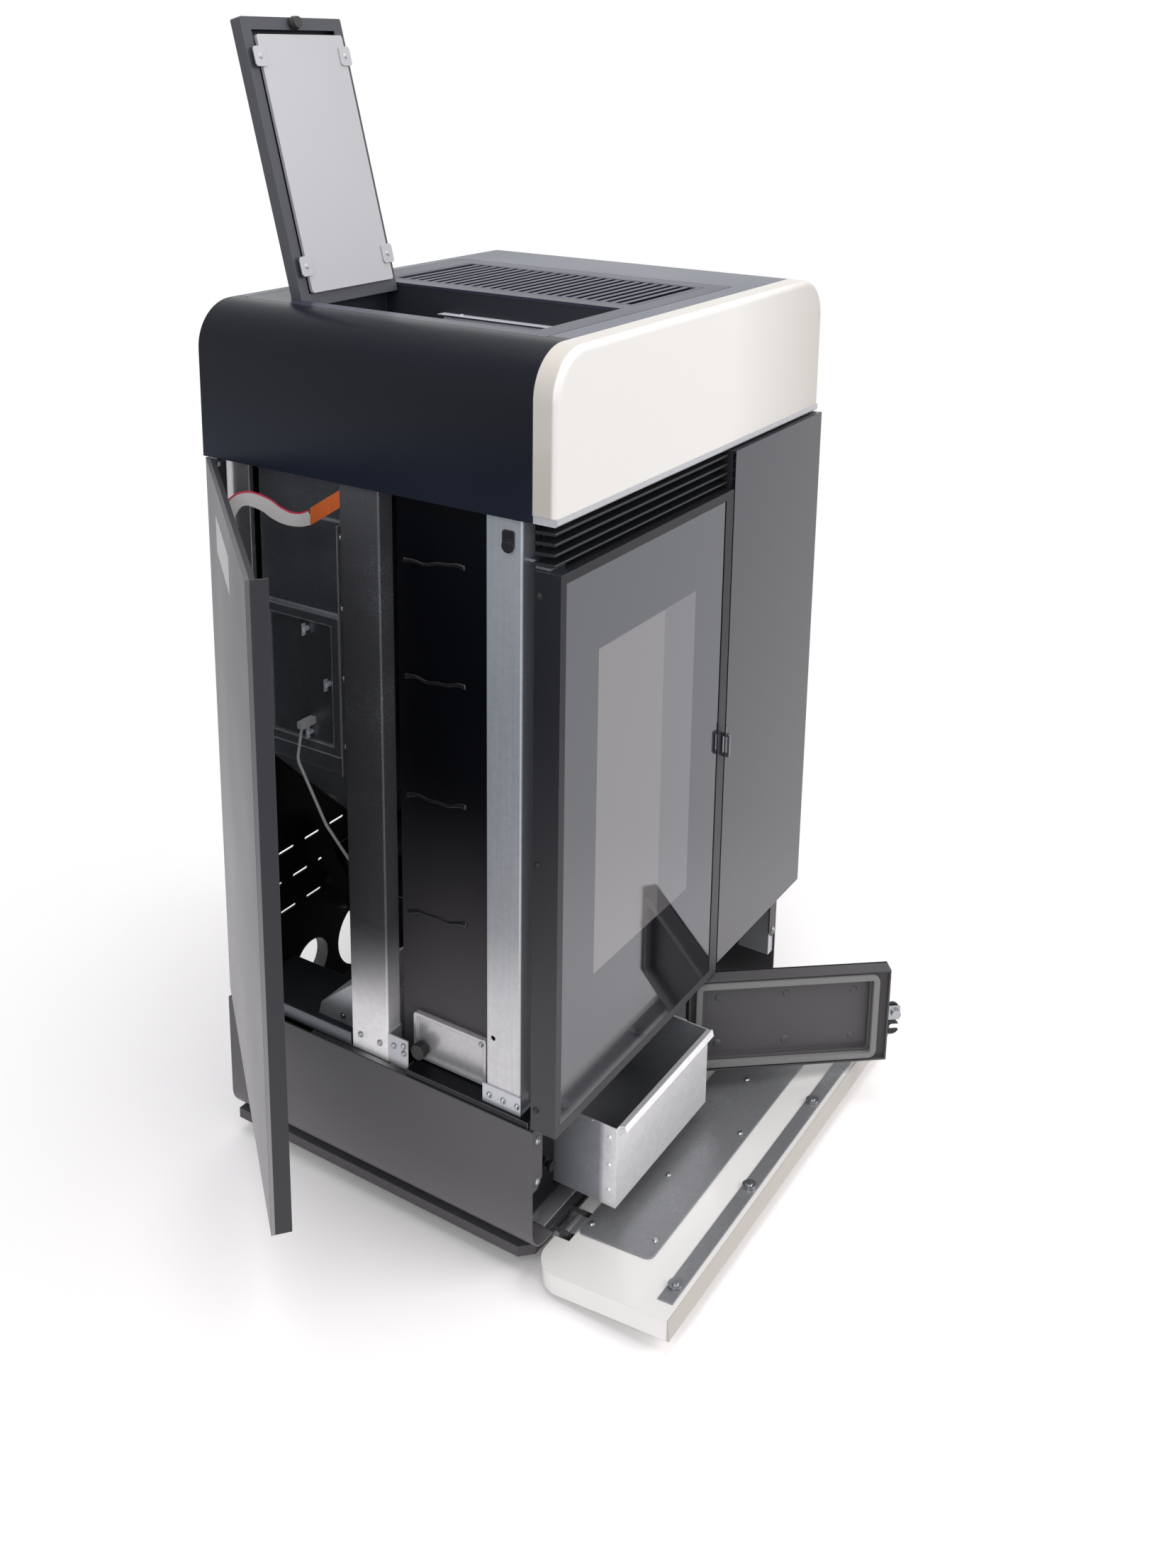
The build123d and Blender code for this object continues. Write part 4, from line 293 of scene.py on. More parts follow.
def finish(name, low, rough, grain, bump, high=None, span=(0.0, 1.0), metal=0.0, coat=0.0, edge=0.0006,
           zinc=0.0, vary=0.06, ior=1.5, spec=0.5, painted_edge_light=None, streak=0.0, regions=(), slab=None,
           tint=(1.0, 1.0, 1.0)):
    """A painted, plated, moulded or cast surface.

    low and high are its colours at the two heights of span, and where they differ the change with height
    is painted light. regions and slab give a few places another colour, most of them painted highlights,
    reflections and shade. grain is how fine its roughness and relief are, zinc how small its crystals
    are, vary and streak how uneven its shade is, edge the radius of its edges and painted_edge_light the
    colour
    painted along them: a painted highlight on most finishes, a darker line on the side door's glass and
    the display's window.
    """
    made = bpy.data.materials.new(name)
    made.use_nodes = True
    tree = made.node_tree
    shader = tree.nodes["Principled BSDF"].inputs
    shader["Metallic"].default_value = metal
    shader["IOR"].default_value = ior
    shader["Specular IOR Level"].default_value = spec
    shader["Specular Tint"].default_value = (*tint, 1.0)
    shader["Coat Weight"].default_value = coat
    shader["Coat Roughness"].default_value = COAT_ROUGH

    colour = use(tree, TONE, low_colour=low, high_colour=high or low, low=span[0], high=span[1])["Colour"]
    for start, end, border, part, tone in regions:
        mask = use(tree, REGION, low=start, high=end, border=border)[part]
        colour = mixed(tree, mask, colour, tone)
    if slab:
        normal, distance, half, tone = slab
        mask = use(tree, SLAB, normal=normal, distance=distance, half=half)["Mask"]
        colour = mixed(tree, mask, colour, tone)

    texture = use(tree, GRAIN, scale=grain)
    shade = mapped(tree, texture["Broad"], 0.0, 1.0, 1.0 - vary, 1.0 + vary)
    if streak:
        lines = mapped(tree, texture["Streak"], *PATCHY, 1.0 - streak, 1.0 + streak)
        shade = calc(tree, "MULTIPLY", shade, lines)
    if zinc:
        crystals = use(tree, SPANGLE, scale=zinc)
        shade = calc(tree, "MULTIPLY", shade, crystals["Shade"])
    colour = mixed(tree, 1.0, colour, shade, "MULTIPLY")
    if zinc:
        flecks = calc(tree, "MULTIPLY", crystals["Fleck"], FLECK_SHARE)
        colour = mixed(tree, flecks, colour, FLECK_COLOUR)
    soft = use(tree, EDGE, radius=edge)
    # A painted highlight along the rounded edges; where the colour given is darker than the face, a
    # darker line.
    if painted_edge_light:
        colour = mixed(tree, calc(tree, "MULTIPLY", soft["Mask"], EDGE_LIGHT_SHARE), colour, painted_edge_light)
    feed(tree, colour, shader["Base Color"])

    smoothest, roughest = max(rough - ROUGH_SWING, SMOOTHEST), rough + ROUGH_SWING
    patches = mapped(tree, texture["Broad"], *PATCHY, smoothest, roughest)
    feed(tree, patches, shader["Roughness"])
    relief = tree.nodes.new("ShaderNodeBump")
    relief.inputs["Strength"].default_value = bump
    relief.inputs["Distance"].default_value = RELIEF_DEPTH
    feed(tree, texture["Fine"], relief.inputs["Height"])
    feed(tree, soft["Normal"], relief.inputs["Normal"])
    feed(tree, relief.outputs["Normal"], shader["Normal"])
    return made


# Boxes in which a piece shows another tone, most of them painted highlights, reflections and shade: low
# corner, high corner, border, mask and colour.
FAR = 9.0  # a side on which such a box has no end
# Glass of the fire door: the field of its window, where the glass is clear, made lighter by a painted
# reflection, and a darker painted reflection on a strip on the right of it.
FIRE_WINDOW_REFLECTION = ((-0.229, -0.3, 0.348), (-0.024, -0.2, 0.716), 0.0012, "Inside", rgb(108, 104, 104))
FIRE_STRIP_REFLECTION = ((-0.094, -0.3, 0.348), (-0.024, -0.2, 0.716), 0.0012, "Inside", rgb(84, 82, 86))
# Ash pan: a painted dark reflection on its left side behind the front corner, and painted shade on its
# inside.
PAN_SIDE_REFLECTION = ((-FAR, -0.2590, -FAR), (-0.2040, FAR, FAR), 0.007, "Inside", rgb(160, 162, 168))
PAN_INSIDE_SHADE = ((-0.2113, -0.2733, 0.0567), (-0.0007, -0.1047, FAR), 0.0003, "Inside", rgb(160, 162, 167))
# Upper edge of the deck, from its middle to the rear, a painted highlight.
DECK_EDGE_HIGHLIGHT = ((-FAR, 0.02, 0.1894), (FAR, FAR, FAR), 0.0004, "Inside", rgb(112, 117, 124))
# Cover on the side of the hopper: painted highlights along the outer and the inner edge of its frame, and
# its plate.
COVER_RIM_HIGHLIGHT = ((-FAR, 0.077, 0.513), (FAR, 0.195, 0.682), 0.0022, "Line", rgb(236, 238, 244))
COVER_EDGE_HIGHLIGHT = ((-FAR, 0.089, 0.525), (FAR, 0.183, 0.670), 0.0016, "Line", rgb(205, 208, 214))
COVER_PLATE = ((-FAR, 0.091, 0.527), (FAR, 0.181, 0.668), 0.0010, "Inside", rgb(112, 116, 122))
# Front flange of the hopper, painted lighter than the box's side, painted light, and a painted highlight
# on its upper end.
FLANGE_LIGHT = ((-FAR, -FAR, 0.40), (-0.2, 0.0790, 0.80), 0.0010, "Inside", rgb(186, 189, 195))
FLANGE_TOP_HIGHLIGHT = ((-FAR, 0.069, 0.7895), (-0.2, 0.106, 0.7945), 0.0012, "Inside", rgb(232, 234, 240))
# Bar in the filling opening, painted pale for the highlight along its top, sills under the posts, and the
# duct's collar at the rear.
GUARD_HIGHLIGHT = ((-0.0690, -FAR, 0.9885), (-0.0553, 0.0725, 1.0015), 0.0003, "Inside", rgb(190, 191, 197))
SILL = ((-FAR, -0.2160, 0.1600), (FAR, -0.0510, 0.1963), 0.0003, "Inside", rgb(20, 22, 29))
COLLAR = ((-FAR, 0.2060, 0.05), (FAR, FAR, 0.3), 0.0005, "Inside", rgb(52, 54, 58))
# Top of the casing, lighter, a painted sheen; the band behind its front face, darker, painted shade, and
# its right end, darker towards the right, painted shade.
TOP_FACE_SHEEN = ((-0.236, -FAR, 1.0255), (0.262, FAR, FAR), 0.0020, "Inside", rgb(86, 89, 100))
BAND_BACK_SHADE = ((-FAR, -0.2405, -FAR), (FAR, FAR, FAR), 0.0025, "Inside", rgb(186, 180, 173))
BAND_END_SHADE = ((0.06, -FAR, -FAR), (FAR, FAR, FAR), 0.30, "Inside", rgb(176, 168, 160))
# Long edge of the open flap, away from its hinge, darker: painted shade.
FLAP_EDGE_SHADE = ((-FAR, -FAR, -FAR), (FAR, -0.3918, FAR), 0.0010, "Inside", rgb(168, 162, 155))

# The same for sloping pieces, within a sheet: its normal, distance, half thickness and colour.
CHUTE = ((0.0, 0.327, 0.945), 0.8942, 0.0012, rgb(205, 205, 211))
ASH_DOOR_RIM = ((0.7771, 0.6293, 0.0), -0.0972, 0.0080, rgb(14, 17, 28))

# Colours of a painted highlight along edges, lighter than the faces they border.
DARK_EDGE, GREY_EDGE, PALE_EDGE = rgb(72, 74, 80), rgb(104, 106, 112), rgb(120, 120, 124)

# What finishes of one kind have in common.
POWDER = dict(grain=900, bump=0.08)
ENAMEL = dict(rough=0.28, grain=400, bump=0.02, coat=0.4, vary=0.01, edge=0.001)
PANE = dict(grain=200, bump=0.0, vary=0.02, edge=0.0008)
PLATED = dict(grain=500, bump=0.02, edge=0.0010)
DIPPED = dict(PLATED, zinc=150.0)
CASTING = dict(rough=0.46, grain=500, bump=0.12)
SMALL = dict(grain=300, bump=0.02)

FINISHES = {
    # casing: lighter low on its sides and darker towards the top bend, a painted sheen
    "casing": dict(POWDER, low=rgb(27, 32, 44), high=rgb(10, 14, 24), span=(0.84, 0.97), rough=0.32,
                   bump=0.07, spec=0.16, painted_edge_light=DARK_EDGE, regions=(TOP_FACE_SHEEN,)),
    "top": dict(POWDER, low=rgb(40, 44, 58), rough=0.34, spec=0.42, painted_edge_light=DARK_EDGE),
    # grille: near black in its slots below the top face, painted shade
    "grille": dict(POWDER, low=rgb(8, 9, 12), high=rgb(66, 70, 82), span=(1.0255, 1.0274), rough=0.42,
                   spec=0.3, painted_edge_light=rgb(110, 113, 125)),
    "cream": dict(ENAMEL, low=rgb(222, 220, 218), regions=(FLAP_EDGE_SHADE,)),
    "band": dict(ENAMEL, low=rgb(224, 221, 218), regions=(BAND_END_SHADE, BAND_BACK_SHADE)),
    "duct": dict(DIPPED, low=rgb(236, 238, 244), rough=0.45, metal=0.15, vary=0.08,
                 painted_edge_light=rgb(250, 250, 252), regions=(COLLAR,)),
    "lip": dict(low=rgb(182, 183, 188), rough=0.40, metal=0.2, grain=500, bump=0.03, streak=0.05),
    "louvre": dict(low=rgb(24, 26, 30), rough=0.40, grain=700, bump=0.05, spec=0.4, painted_edge_light=DARK_EDGE),
    # glass: a little lighter and warmer low down, a painted reflection
    "glass": dict(PANE, low=rgb(15, 14, 19), high=rgb(6, 9, 22), span=(0.2, 0.75), rough=0.05, ior=2.20,
                  tint=(0.90, 0.91, 1.0), regions=(FIRE_WINDOW_REFLECTION, FIRE_STRIP_REFLECTION)),
    # panel: lighter low down and darker towards the top, a painted reflection
    "panel": dict(PANE, low=rgb(46, 44, 51), high=rgb(18, 20, 30), span=(0.2, 0.85), rough=0.06, ior=1.74,
                  tint=(0.92, 0.92, 1.0)),
    # door_glass: far lighter than the dark glass it is, and lighter low down, a painted reflection at a
    # glancing angle
    "door_glass": dict(PANE, low=rgb(147, 145, 147), high=rgb(98, 97, 101), span=(0.15, 0.84), rough=0.30,
                       spec=0.01, painted_edge_light=rgb(72, 74, 78)),
    # door_frame: lighter low down and darker above, painted light
    "door_frame": dict(POWDER, low=rgb(64, 63, 67), high=rgb(24, 25, 31), span=(0.2, 0.75), rough=0.42,
                       spec=0.25, painted_edge_light=GREY_EDGE),
    # door_edge: a little lighter low down, painted light
    "door_edge": dict(POWDER, low=rgb(56, 55, 59), high=rgb(44, 44, 49), span=(0.2, 0.8), rough=0.45,
                      spec=0.25, painted_edge_light=rgb(100, 102, 108)),
    # base: lighter towards its lower bend, a painted highlight
    "base": dict(POWDER, low=rgb(96, 93, 96), high=rgb(82, 80, 83), span=(0.03, 0.12), rough=0.45,
                 bump=0.10, spec=0.3, painted_edge_light=PALE_EDGE),
    "plinth": dict(POWDER, low=rgb(70, 68, 71), rough=0.5, bump=0.10, spec=0.3),
    "black": dict(low=rgb(16, 16, 19), rough=0.5, grain=800, bump=0.10, spec=0.25, painted_edge_light=rgb(60, 62, 68)),
    # iron: lighter low down and near black above, painted light
    "iron": dict(low=rgb(78, 74, 78), high=rgb(4, 5, 10), span=(0.21, 0.56), rough=0.40, grain=500,
                 bump=0.12, spec=0.16, vary=0.12),
    "cast": dict(low=rgb(50, 48, 47), rough=0.75, grain=260, bump=0.5, vary=0.15),
    "zinc": dict(DIPPED, low=rgb(214, 214, 219), rough=0.28, metal=0.7, vary=0.04,
                 painted_edge_light=rgb(246, 247, 250)),
    "pan": dict(DIPPED, low=rgb(244, 243, 246), rough=0.30, metal=0.5, vary=0.04,
                painted_edge_light=rgb(250, 250, 252), regions=(PAN_SIDE_REFLECTION, PAN_INSIDE_SHADE)),
    "flap_zinc": dict(DIPPED, low=rgb(128, 129, 132), rough=0.42, metal=0.45, painted_edge_light=rgb(205, 207, 212)),
    "deck": dict(PLATED, low=rgb(34, 37, 43), rough=0.34, metal=0.3, spec=0.3, vary=0.05,
                 painted_edge_light=rgb(190, 194, 200), regions=(DECK_EDGE_HIGHLIGHT,)),
    # zinc_post: lighter and warmer low down, bluer higher up, painted light
    "zinc_post": dict(DIPPED, low=rgb(206, 205, 208), high=rgb(184, 190, 198), span=(0.25, 0.6),
                      rough=0.34, metal=0.5, zinc=220.0, vary=0.04, streak=0.05, edge=0.0012,
                      painted_edge_light=rgb(235, 238, 242)),
    # zinc_dark: near white at the foot, a painted reflection of the floor, and darker above
    "zinc_dark": dict(DIPPED, low=rgb(252, 250, 252), high=rgb(96, 97, 102), span=(0.23, 0.36),
                      rough=0.40, metal=0.5, zinc=180.0, vary=0.05, spec=0.3, edge=0.0014,
                      painted_edge_light=rgb(215, 218, 224)),
    # zinc_box: lighter low down and darker above, painted light
    "zinc_box": dict(DIPPED, low=rgb(204, 202, 204), high=rgb(128, 132, 139), span=(0.26, 0.38),
                     rough=0.28, metal=0.5, zinc=180.0, vary=0.16, spec=0.4, edge=0.0014,
                     painted_edge_light=rgb(250, 251, 254),
                     regions=(COVER_PLATE, COVER_EDGE_HIGHLIGHT, COVER_RIM_HIGHLIGHT, FLANGE_LIGHT, FLANGE_TOP_HIGHLIGHT)),
    "liner": dict(low=rgb(168, 168, 172), rough=0.40, metal=0.35, grain=500, bump=0.01, vary=0.03,
                  painted_edge_light=rgb(200, 201, 205)),
    "lid": dict(POWDER, low=rgb(66, 67, 73), rough=0.38, bump=0.07, spec=0.3, painted_edge_light=GREY_EDGE),
    "bracket": dict(low=rgb(196, 198, 203), rough=0.35, metal=0.5, grain=500, bump=0.03,
                    painted_edge_light=rgb(230, 232, 236), regions=(SILL,)),
    "steel": dict(SMALL, low=rgb(170, 172, 176), rough=0.28, metal=0.95, edge=0.0003),
    "throat": dict(low=rgb(34, 37, 44), rough=0.40, grain=600, bump=0.08, spec=0.35, edge=0.001,
                   painted_edge_light=rgb(120, 123, 130), regions=(GUARD_HIGHLIGHT,), slab=CHUTE),
    "rope": dict(low=rgb(122, 121, 121), rough=0.9, grain=900, bump=1.0, vary=0.25, edge=0.002),
    "plastic": dict(low=rgb(20, 20, 23), rough=0.42, grain=700, bump=0.08, painted_edge_light=rgb(70, 72, 78)),
    "white": dict(SMALL, low=rgb(205, 205, 205), rough=0.5),
    "orange": dict(SMALL, low=rgb(205, 100, 48), rough=0.5, streak=0.08, painted_edge_light=rgb(225, 140, 90)),
    "ribbon": dict(SMALL, low=rgb(205, 203, 203), rough=0.45),
    "red": dict(SMALL, low=rgb(196, 40, 70), rough=0.5),
    "ash_door": dict(CASTING, low=rgb(78, 76, 78), spec=0.35, painted_edge_light=PALE_EDGE),
    "ash_shell": dict(CASTING, low=rgb(80, 78, 80), spec=0.15, painted_edge_light=PALE_EDGE, slab=ASH_DOOR_RIM),
    "weld": dict(SMALL, low=rgb(26, 26, 29), rough=0.28, bump=0.1),
    "screw": dict(SMALL, low=rgb(236, 238, 243), rough=0.32, metal=0.3, edge=0.0003),
    "chrome": dict(SMALL, low=rgb(120, 122, 128), rough=0.15, metal=1.0, bump=0.0, edge=0.0003),
    "alloy": dict(SMALL, low=rgb(150, 152, 156), rough=0.45, metal=0.6, bump=0.2),
    "window": dict(low=rgb(120, 121, 124), rough=0.25, grain=200, bump=0.0, spec=0.1,
                   painted_edge_light=rgb(40, 40, 42)),
}
PAINTS = {name: finish(name, **values) for name, values in FINISHES.items()}

# The finish of each node.
FINISH_OF = {
    "support_frame": "black",
    "plinth_rail": "plinth",
    "base_sides": "base",
    "base_floor": "zinc",
    "deck": "deck",
    "post_feet": "bracket",
    "mid_posts": "zinc_dark",
    "front_posts": "zinc_post",
    "rear_posts": "zinc",
    "rear_panel": "black",
    "top_casing": "casing",
    "top_plate": "top",
    "top_grille": "grille",
    "front_band": "band",
    "band_lip": "lip",
    "louvre": "louvre",
    "right_glass": "panel",
    "right_trays": "door_edge",
    "fire_body": "iron",
    "fire_face": "iron",
    "fire_lining": "cast",
    "burn_pot": "cast",
    "ash_box": "black",
    "ash_pan": "pan",
    "hopper_throat": "throat",
    "hopper_box": "zinc_box",
    "hopper_screws": "screw",
    "side_covers": "zinc_box",
    "inspection_knob": "plastic",
    "auger_tube": "black",
    "auger_screw": "steel",
    "smoke_housing": "alloy",
    "smoke_wheel": "alloy",
    "drive_motors": "black",
    "air_ducts": "duct",
    "electrics": "plastic",
    "cleaning_lever": "plastic",
    "sensor_cable": "white",
    "display_plug": "orange",
    "display_lead": "ribbon",
    "hinge_pins": "steel",
    "glass_door_frame": "door_frame",
    "door_glass": "glass",
    "pane_holder": "black",
    "door_gasket": "rope",
    "door_handle": "chrome",
    "side_door_frame": "door_edge",
    "side_door_glass": "door_glass",
    "display": "window",
    "lid_frame": "lid",
    "lid_liner": "liner",
    "lid_knob": "plastic",
    "ash_door_shell": "ash_shell",
    "ash_door_liner": "ash_door",
    "ash_door_gasket": "rope",
    "latch_bolt": "steel",
    "latch_hook": "louvre",
    "flap_shell": "cream",
    "flap_plates": "flap_zinc",
    "flap_fasteners": "steel",
}
for node, piece in NODES.items():
    piece.data.materials.clear()
    piece.data.materials.append(PAINTS[FINISH_OF[node]])


# ---------------------------------------------------------------- new objects
def in_scene(name, data):
    """An object for a mesh, a lamp or a camera."""
    made = bpy.data.objects.new(name, data)
    bpy.context.scene.collection.objects.link(made)
    return made


def mesh_object(name, shape, *paints):
    """An object for a finished shape, with its materials in the order of their numbers."""
    data = bpy.data.meshes.new(name)
    shape.to_mesh(data)
    shape.free()
    for paint in paints:
        data.materials.append(paint)
    return in_scene(name, data)


def riding(name, shape, body, paint):
    """An object that rides on a body of the frame."""
    made = mesh_object(name, shape, PAINTS[paint])
    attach(made, body)


# ---------------------------------------------------------------- screw heads that show
LEFT, FRONT = (-1, 0, 0), (0, -1, 0)
WASHER_HIGH, HEAD_HIGH, DRIVE_HIGH = 0.0006, 0.0018, 0.0002
WASHER_WIDE, HEAD_TOP_WIDE, DRIVE_WIDE = 1.25, 0.72, 0.34  # as shares of the head's radius


def add_disc(shape, point, way, radius, high, top=None, sides=16):
    """A short cylinder or cone that stands on a point."""
    spin = Vector(way).to_track_quat("Z", "Y").to_matrix().to_4x4()
    spot = Matrix.Translation(Vector(point) + Vector(way) * high / 2) @ spin
    upper = radius if top is None else top
    bmesh.ops.create_cone(shape, cap_ends=True, segments=sides, radius1=radius, radius2=upper,
                          depth=high, matrix=spot)


def screws(name, points, way, body, paint="steel", radius=0.003):
    """Low screw heads with a washer and a drive; way is the unit vector that they face."""
    shape = bmesh.new()
    for point in points:
        on_washer = Vector(point) + Vector(way) * WASHER_HIGH
        on_head = Vector(point) + Vector(way) * (WASHER_HIGH + HEAD_HIGH)
        add_disc(shape, point, way, radius * WASHER_WIDE, WASHER_HIGH)
        add_disc(shape, on_washer, way, radius, HEAD_HIGH, radius * HEAD_TOP_WIDE)
        add_disc(shape, on_head, way, radius * DRIVE_WIDE, DRIVE_HIGH, sides=6)
    riding(name, shape, body, paint)


# Where the heads stand, a hair off the faces of their pieces.
HAIR = 0.0001
BASE_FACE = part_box("base_sides")[0][1] - HAIR
COVER_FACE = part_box("side_covers")[0][0] - HAIR
DOOR_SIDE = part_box("glass_door_frame")[0][0] - 2 * HAIR
DUCT_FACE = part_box("air_ducts")[0][0] - 2 * HAIR
POST_FOOT_FACE, MID_FOOT_FACE = -0.2936, -0.2922

screws("base_flange_screws", [(x, BASE_FACE, z) for x in (-0.290, 0.290) for z in (0.173, 0.122)],
       FRONT, "stove", radius=0.0034)
screws("post_foot_screws", [(POST_FOOT_FACE, y, 0.206) for y in (-0.198, -0.180, -0.162)], LEFT, "stove")
screws("mid_foot_screws",
       [(MID_FOOT_FACE, y, z) for y, z in ((-0.044, 0.2175), (-0.044, 0.2085), (-0.030, 0.213),
                                           (-0.010, 0.209), (0.018, 0.209))],
       LEFT, "stove")
screws("plate_screws", [(COVER_FACE, -0.139, 0.248)], LEFT, "stove", radius=0.0028)
screws("door_side_screws", [(DOOR_SIDE, -0.2265, z) for z in (0.788, 0.502, 0.218)], LEFT, "glass_door",
       "plastic")
screws("duct_screws", [(DUCT_FACE, y, 0.200) for y in (0.046, 0.066)], LEFT, "stove")

# ---------------------------------------------------------------- weld beads on the fire body
WELD_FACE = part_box("fire_body")[0][0] - 2 * HAIR
WELD_FRONT, WELD_REAR = -0.114, -0.038
WELD_DROPS, DROP_SIZE = 26, (0.0012, 0.0030, 0.0020)  # their number and their half sizes
WELD_ENDS = 0.7  # how much thicker a bead is at its ends
SLOW_WAVE, FAST_WAVE = (7.0, 0.0016), (17.0, 0.0007)  # radians along a bead, and height
WAVE_SHIFT = 40  # radians per metre of height, so that no two beads wander alike


def weld(name, height, fall):
    """A hand-laid bead: overlapping flat drops that wander a little and fall towards the rear."""
    shape = bmesh.new()
    for n in range(WELD_DROPS):
        share = n / (WELD_DROPS - 1)
        y = WELD_FRONT + (WELD_REAR - WELD_FRONT) * share
        slow = math.sin(SLOW_WAVE[0] * share + height * WAVE_SHIFT) * SLOW_WAVE[1]
        fast = math.sin(FAST_WAVE[0] * share) * FAST_WAVE[1]
        swell = 1.0 + WELD_ENDS * abs(2 * share - 1) ** 4
        size = Matrix.Diagonal((DROP_SIZE[0] * swell, DROP_SIZE[1], DROP_SIZE[2] * swell, 1))
        spot = Matrix.Translation((WELD_FACE, y, height - fall * share + slow + fast))
        bmesh.ops.create_uvsphere(shape, u_segments=8, v_segments=6, radius=1.0, matrix=spot @ size)
    for face in shape.faces:
        face.smooth = True
    riding(name, shape, "stove", "weld")


for number, (height, fall) in enumerate(((0.786, 0.006), (0.655, 0.005), (0.519, 0.006), (0.381, 0.008))):
    weld(f"weld_bead_{number + 1}", height, fall)

# ---------------------------------------------------------------- ribbon of the display
# The middle of the ribbon, from its plug to the display's box, in the waves that the photo shows.
RIBBON_LINE = [
    (-0.2889, 0.0733, 0.8120), (-0.2891, 0.0774, 0.8097), (-0.2901, 0.0881, 0.8062),
    (-0.2951, 0.0995, 0.8071), (-0.3037, 0.1075, 0.8139), (-0.3117, 0.1128, 0.8227),
    (-0.3200, 0.1189, 0.8290), (-0.3283, 0.1250, 0.8328), (-0.3358, 0.1308, 0.8315),
    (-0.3408, 0.1348, 0.8258), (-0.3460, 0.1392, 0.8150),
]
RIBBON_WIDE, RIBBON_THICK = 0.0160, 0.0009
WIRES, STEPS_BETWEEN = 13, 4
ACROSS = 2 * WIRES  # points across the ribbon: one on each wire and one in each groove
AT_WIRE, IN_GROOVE = 0.5, 0.22  # half of the thickness there, as a share of it


def smooth_line(points):
    """Steps along a smooth curve through the points, but for the last point."""
    steps = []
    for a, b, c, d in zip([points[0]] + points, points, points[1:], points[2:] + [points[-1]]):
        a, b, c, d = (Vector(point) for point in (a, b, c, d))
        for n in range(STEPS_BETWEEN):
            t = n / STEPS_BETWEEN
            steps.append(0.5 * (2 * b + (c - a) * t + (2 * a - 5 * b + 4 * c - d) * t * t
                                + (3 * b - 3 * c + d - a) * t ** 3))
    return steps


def ribbon_row(shape, spot, run):
    """The corners at one step: over the wires from bottom to top, and back on the other side."""
    up = (Vector((0, 0, 1)) - run * run.z).normalized()
    out = run.cross(up)
    row = []
    for side in (1, -1):
        for k in range(ACROSS + 1):
            place = (k / ACROSS - 0.5) * side
            ridge = RIBBON_THICK * (AT_WIRE if k % 2 else IN_GROOVE) * side
            row.append(shape.verts.new(spot + up * RIBBON_WIDE * place + out * ridge))
    return row


def ribbon():
    """Flat ribbon of many wires, the top one red, from the plug to the display's box."""
    steps = smooth_line(RIBBON_LINE)
    shape = bmesh.new()
    rows = []
    for n, spot in enumerate(steps):
        run = (steps[min(n + 1, len(steps) - 1)] - steps[max(n - 1, 0)]).normalized()
        rows.append(ribbon_row(shape, spot, run))
    for first, second in zip(rows, rows[1:]):
        count = len(first)
        for k in range(count):
            k2 = (k + 1) % count
            face = shape.faces.new((first[k], first[k2], second[k2], second[k]))
            across = k if k <= ACROSS else count - 1 - k
            face.material_index = 1 if across >= ACROSS - 2 else 0
    shape.normal_update()
    made = mesh_object("display_ribbon", shape, PAINTS["ribbon"], PAINTS["red"])
    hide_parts("display_lead")
    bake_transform(made)


ribbon()

# ---------------------------------------------------------------- floor and studio
FLOOR_HALF = 12.0
FLOOR_COLOUR = (0.97, 0.95, 0.95, 1)
FADE_FROM, FADE_TO = 0.40, 1.05  # how far from the origin the floor begins and ends to fade
AIR_COLOUR, AIR_STRENGTH = (0.84, 0.84, 0.86, 1), 0.75
WHITE = (1, 1, 1, 1)


def floor_paint():
    """Matt white that fades away, so that only the ground near the stove takes its shadow."""
    made = bpy.data.materials.new("floor")
    made.use_nodes = True
    tree = made.node_tree
    shader = tree.nodes["Principled BSDF"]
    shader.inputs["Base Color"].default_value = FLOOR_COLOUR
    shader.inputs["Roughness"].default_value = 0.7
    shader.inputs["Specular IOR Level"].default_value = 0.1
    distance = vector_calc(tree, "LENGTH", rest_place(tree))
    fade = mapped(tree, distance, FADE_FROM, FADE_TO, ramp="SMOOTHERSTEP")
    clear = tree.nodes.new("ShaderNodeBsdfTransparent")
    faded = mixed_shader(tree, fade, shader.outputs["BSDF"], clear.outputs["BSDF"])
    feed(tree, faded, tree.nodes["Material Output"].inputs["Surface"])
    return made


def lay_floor():
    """The ground at height 0."""
    shape = bmesh.new()
    bmesh.ops.create_grid(shape, x_segments=1, y_segments=1, size=FLOOR_HALF)
    floor = mesh_object("floor", shape, floor_paint())


def background(tree, colour, strength):
    """Even light from all around."""
    made = tree.nodes.new("ShaderNodeBackground")
    made.inputs["Color"].default_value = colour
    made.inputs["Strength"].default_value = strength
    return made.outputs["Background"]


def studio():
    """White where the camera, a reflection or glass sees it, and a softer light on all else."""
    world = bpy.data.worlds.new("studio")
    bpy.context.scene.world = world
    world.use_nodes = True
    tree = world.node_tree
    tree.nodes.clear()
    rays = tree.nodes.new("ShaderNodeLightPath").outputs
    seen = calc(tree, "MAXIMUM", rays["Is Camera Ray"], rays["Is Glossy Ray"])
    seen = calc(tree, "MAXIMUM", seen, rays["Is Transmission Ray"])
    air = background(tree, AIR_COLOUR, AIR_STRENGTH)
    both = mixed_shader(tree, seen, air, background(tree, WHITE, 1.0))
    feed(tree, both, tree.nodes.new("ShaderNodeOutputWorld").inputs["Surface"])


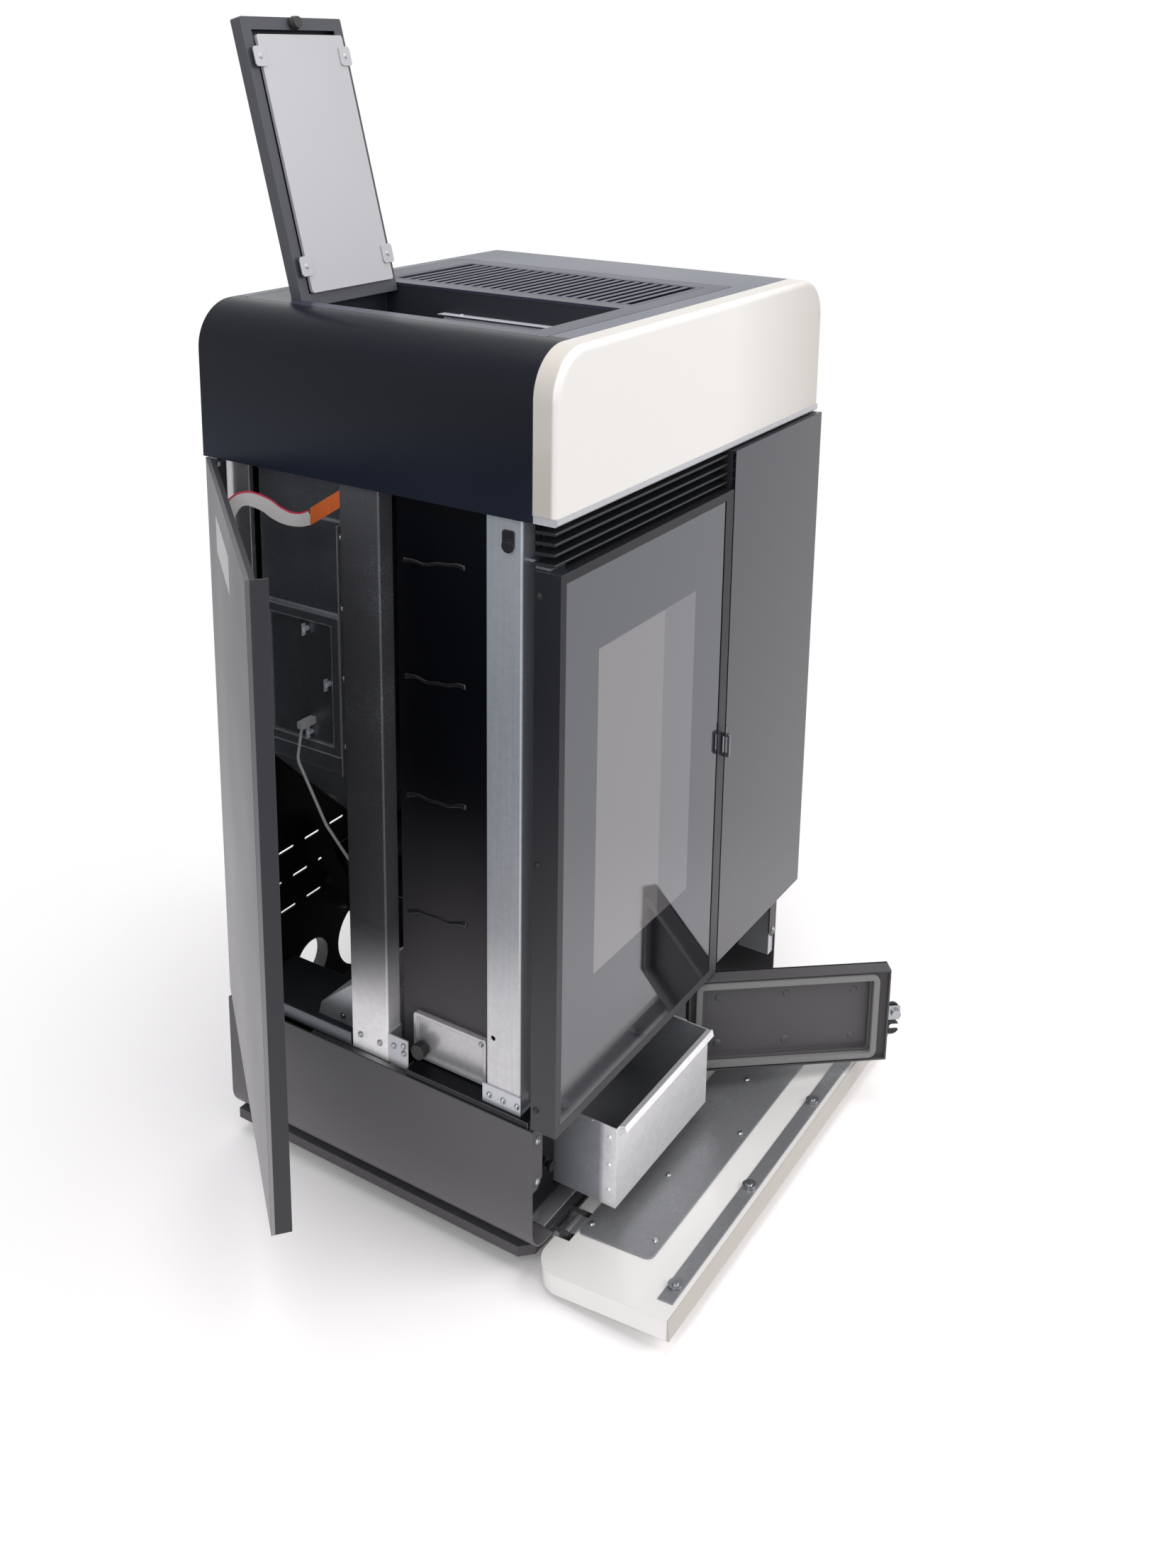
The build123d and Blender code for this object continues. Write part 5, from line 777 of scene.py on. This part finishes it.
def area_light(name, spot, target, size, power, colour=(1, 1, 1)):
    """A soft box that looks from its spot to its target."""
    data = bpy.data.lights.new(name, "AREA")
    data.shape = "RECTANGLE"
    data.size, data.size_y = size
    data.energy = power
    data.color = colour
    lamp = in_scene(name, data)
    lamp.location = spot
    lamp.rotation_mode = "QUATERNION"
    lamp.rotation_quaternion = (Vector(target) - Vector(spot)).to_track_quat("-Z", "Y")


lay_floor()
studio()
area_light("key", spot=(0.9, -3.0, 2.6), target=(0.0, 0.0, 0.6), size=(2.4, 2.0), power=66.0,
           colour=(1.0, 0.985, 0.96))
area_light("side", spot=(-3.2, -0.6, 2.0), target=(0.0, 0.0, 0.6), size=(2.0, 2.6), power=44.0,
           colour=(0.98, 0.99, 1.0))
area_light("above", spot=(-0.14, -0.05, 3.4), target=(-0.14, 0.0, 1.0), size=(2.0, 2.0), power=46.0)

# ---------------------------------------------------------------- camera
EYE = (-1.4646, -1.0037, 1.3030)
AZIMUTH, DOWN, ROLL = 58.0787, 13.8691, 0.8635  # degrees
PHOTO_HIGH, FOCAL, CENTRE_Y = 2212.0, 2182.1, 600.0  # pixels of the photo
SENSOR = 36.0  # millimetres


def place_camera():
    """The photo's view, with a smaller shift than the photo's own."""
    data = bpy.data.cameras.new("camera")
    data.sensor_width = SENSOR
    data.lens = FOCAL * SENSOR / PHOTO_HIGH
    data.shift_y = (CENTRE_Y - PHOTO_HIGH / 2) / PHOTO_HIGH
    data.clip_start = 0.05
    data.clip_end = 50.0
    turn, down = math.radians(AZIMUTH), math.radians(DOWN)
    ahead = Vector((math.sin(turn) * math.cos(down), math.cos(turn) * math.cos(down), -math.sin(down)))
    roll = Matrix.Rotation(math.radians(ROLL), 3, "Z").to_quaternion()
    camera = in_scene("camera", data)
    camera.location = EYE
    camera.rotation_mode = "QUATERNION"
    camera.rotation_quaternion = ahead.to_track_quat("-Z", "Y") @ roll
    bpy.context.scene.camera = camera


place_camera()

bpy.context.scene.view_settings.view_transform = "Standard"
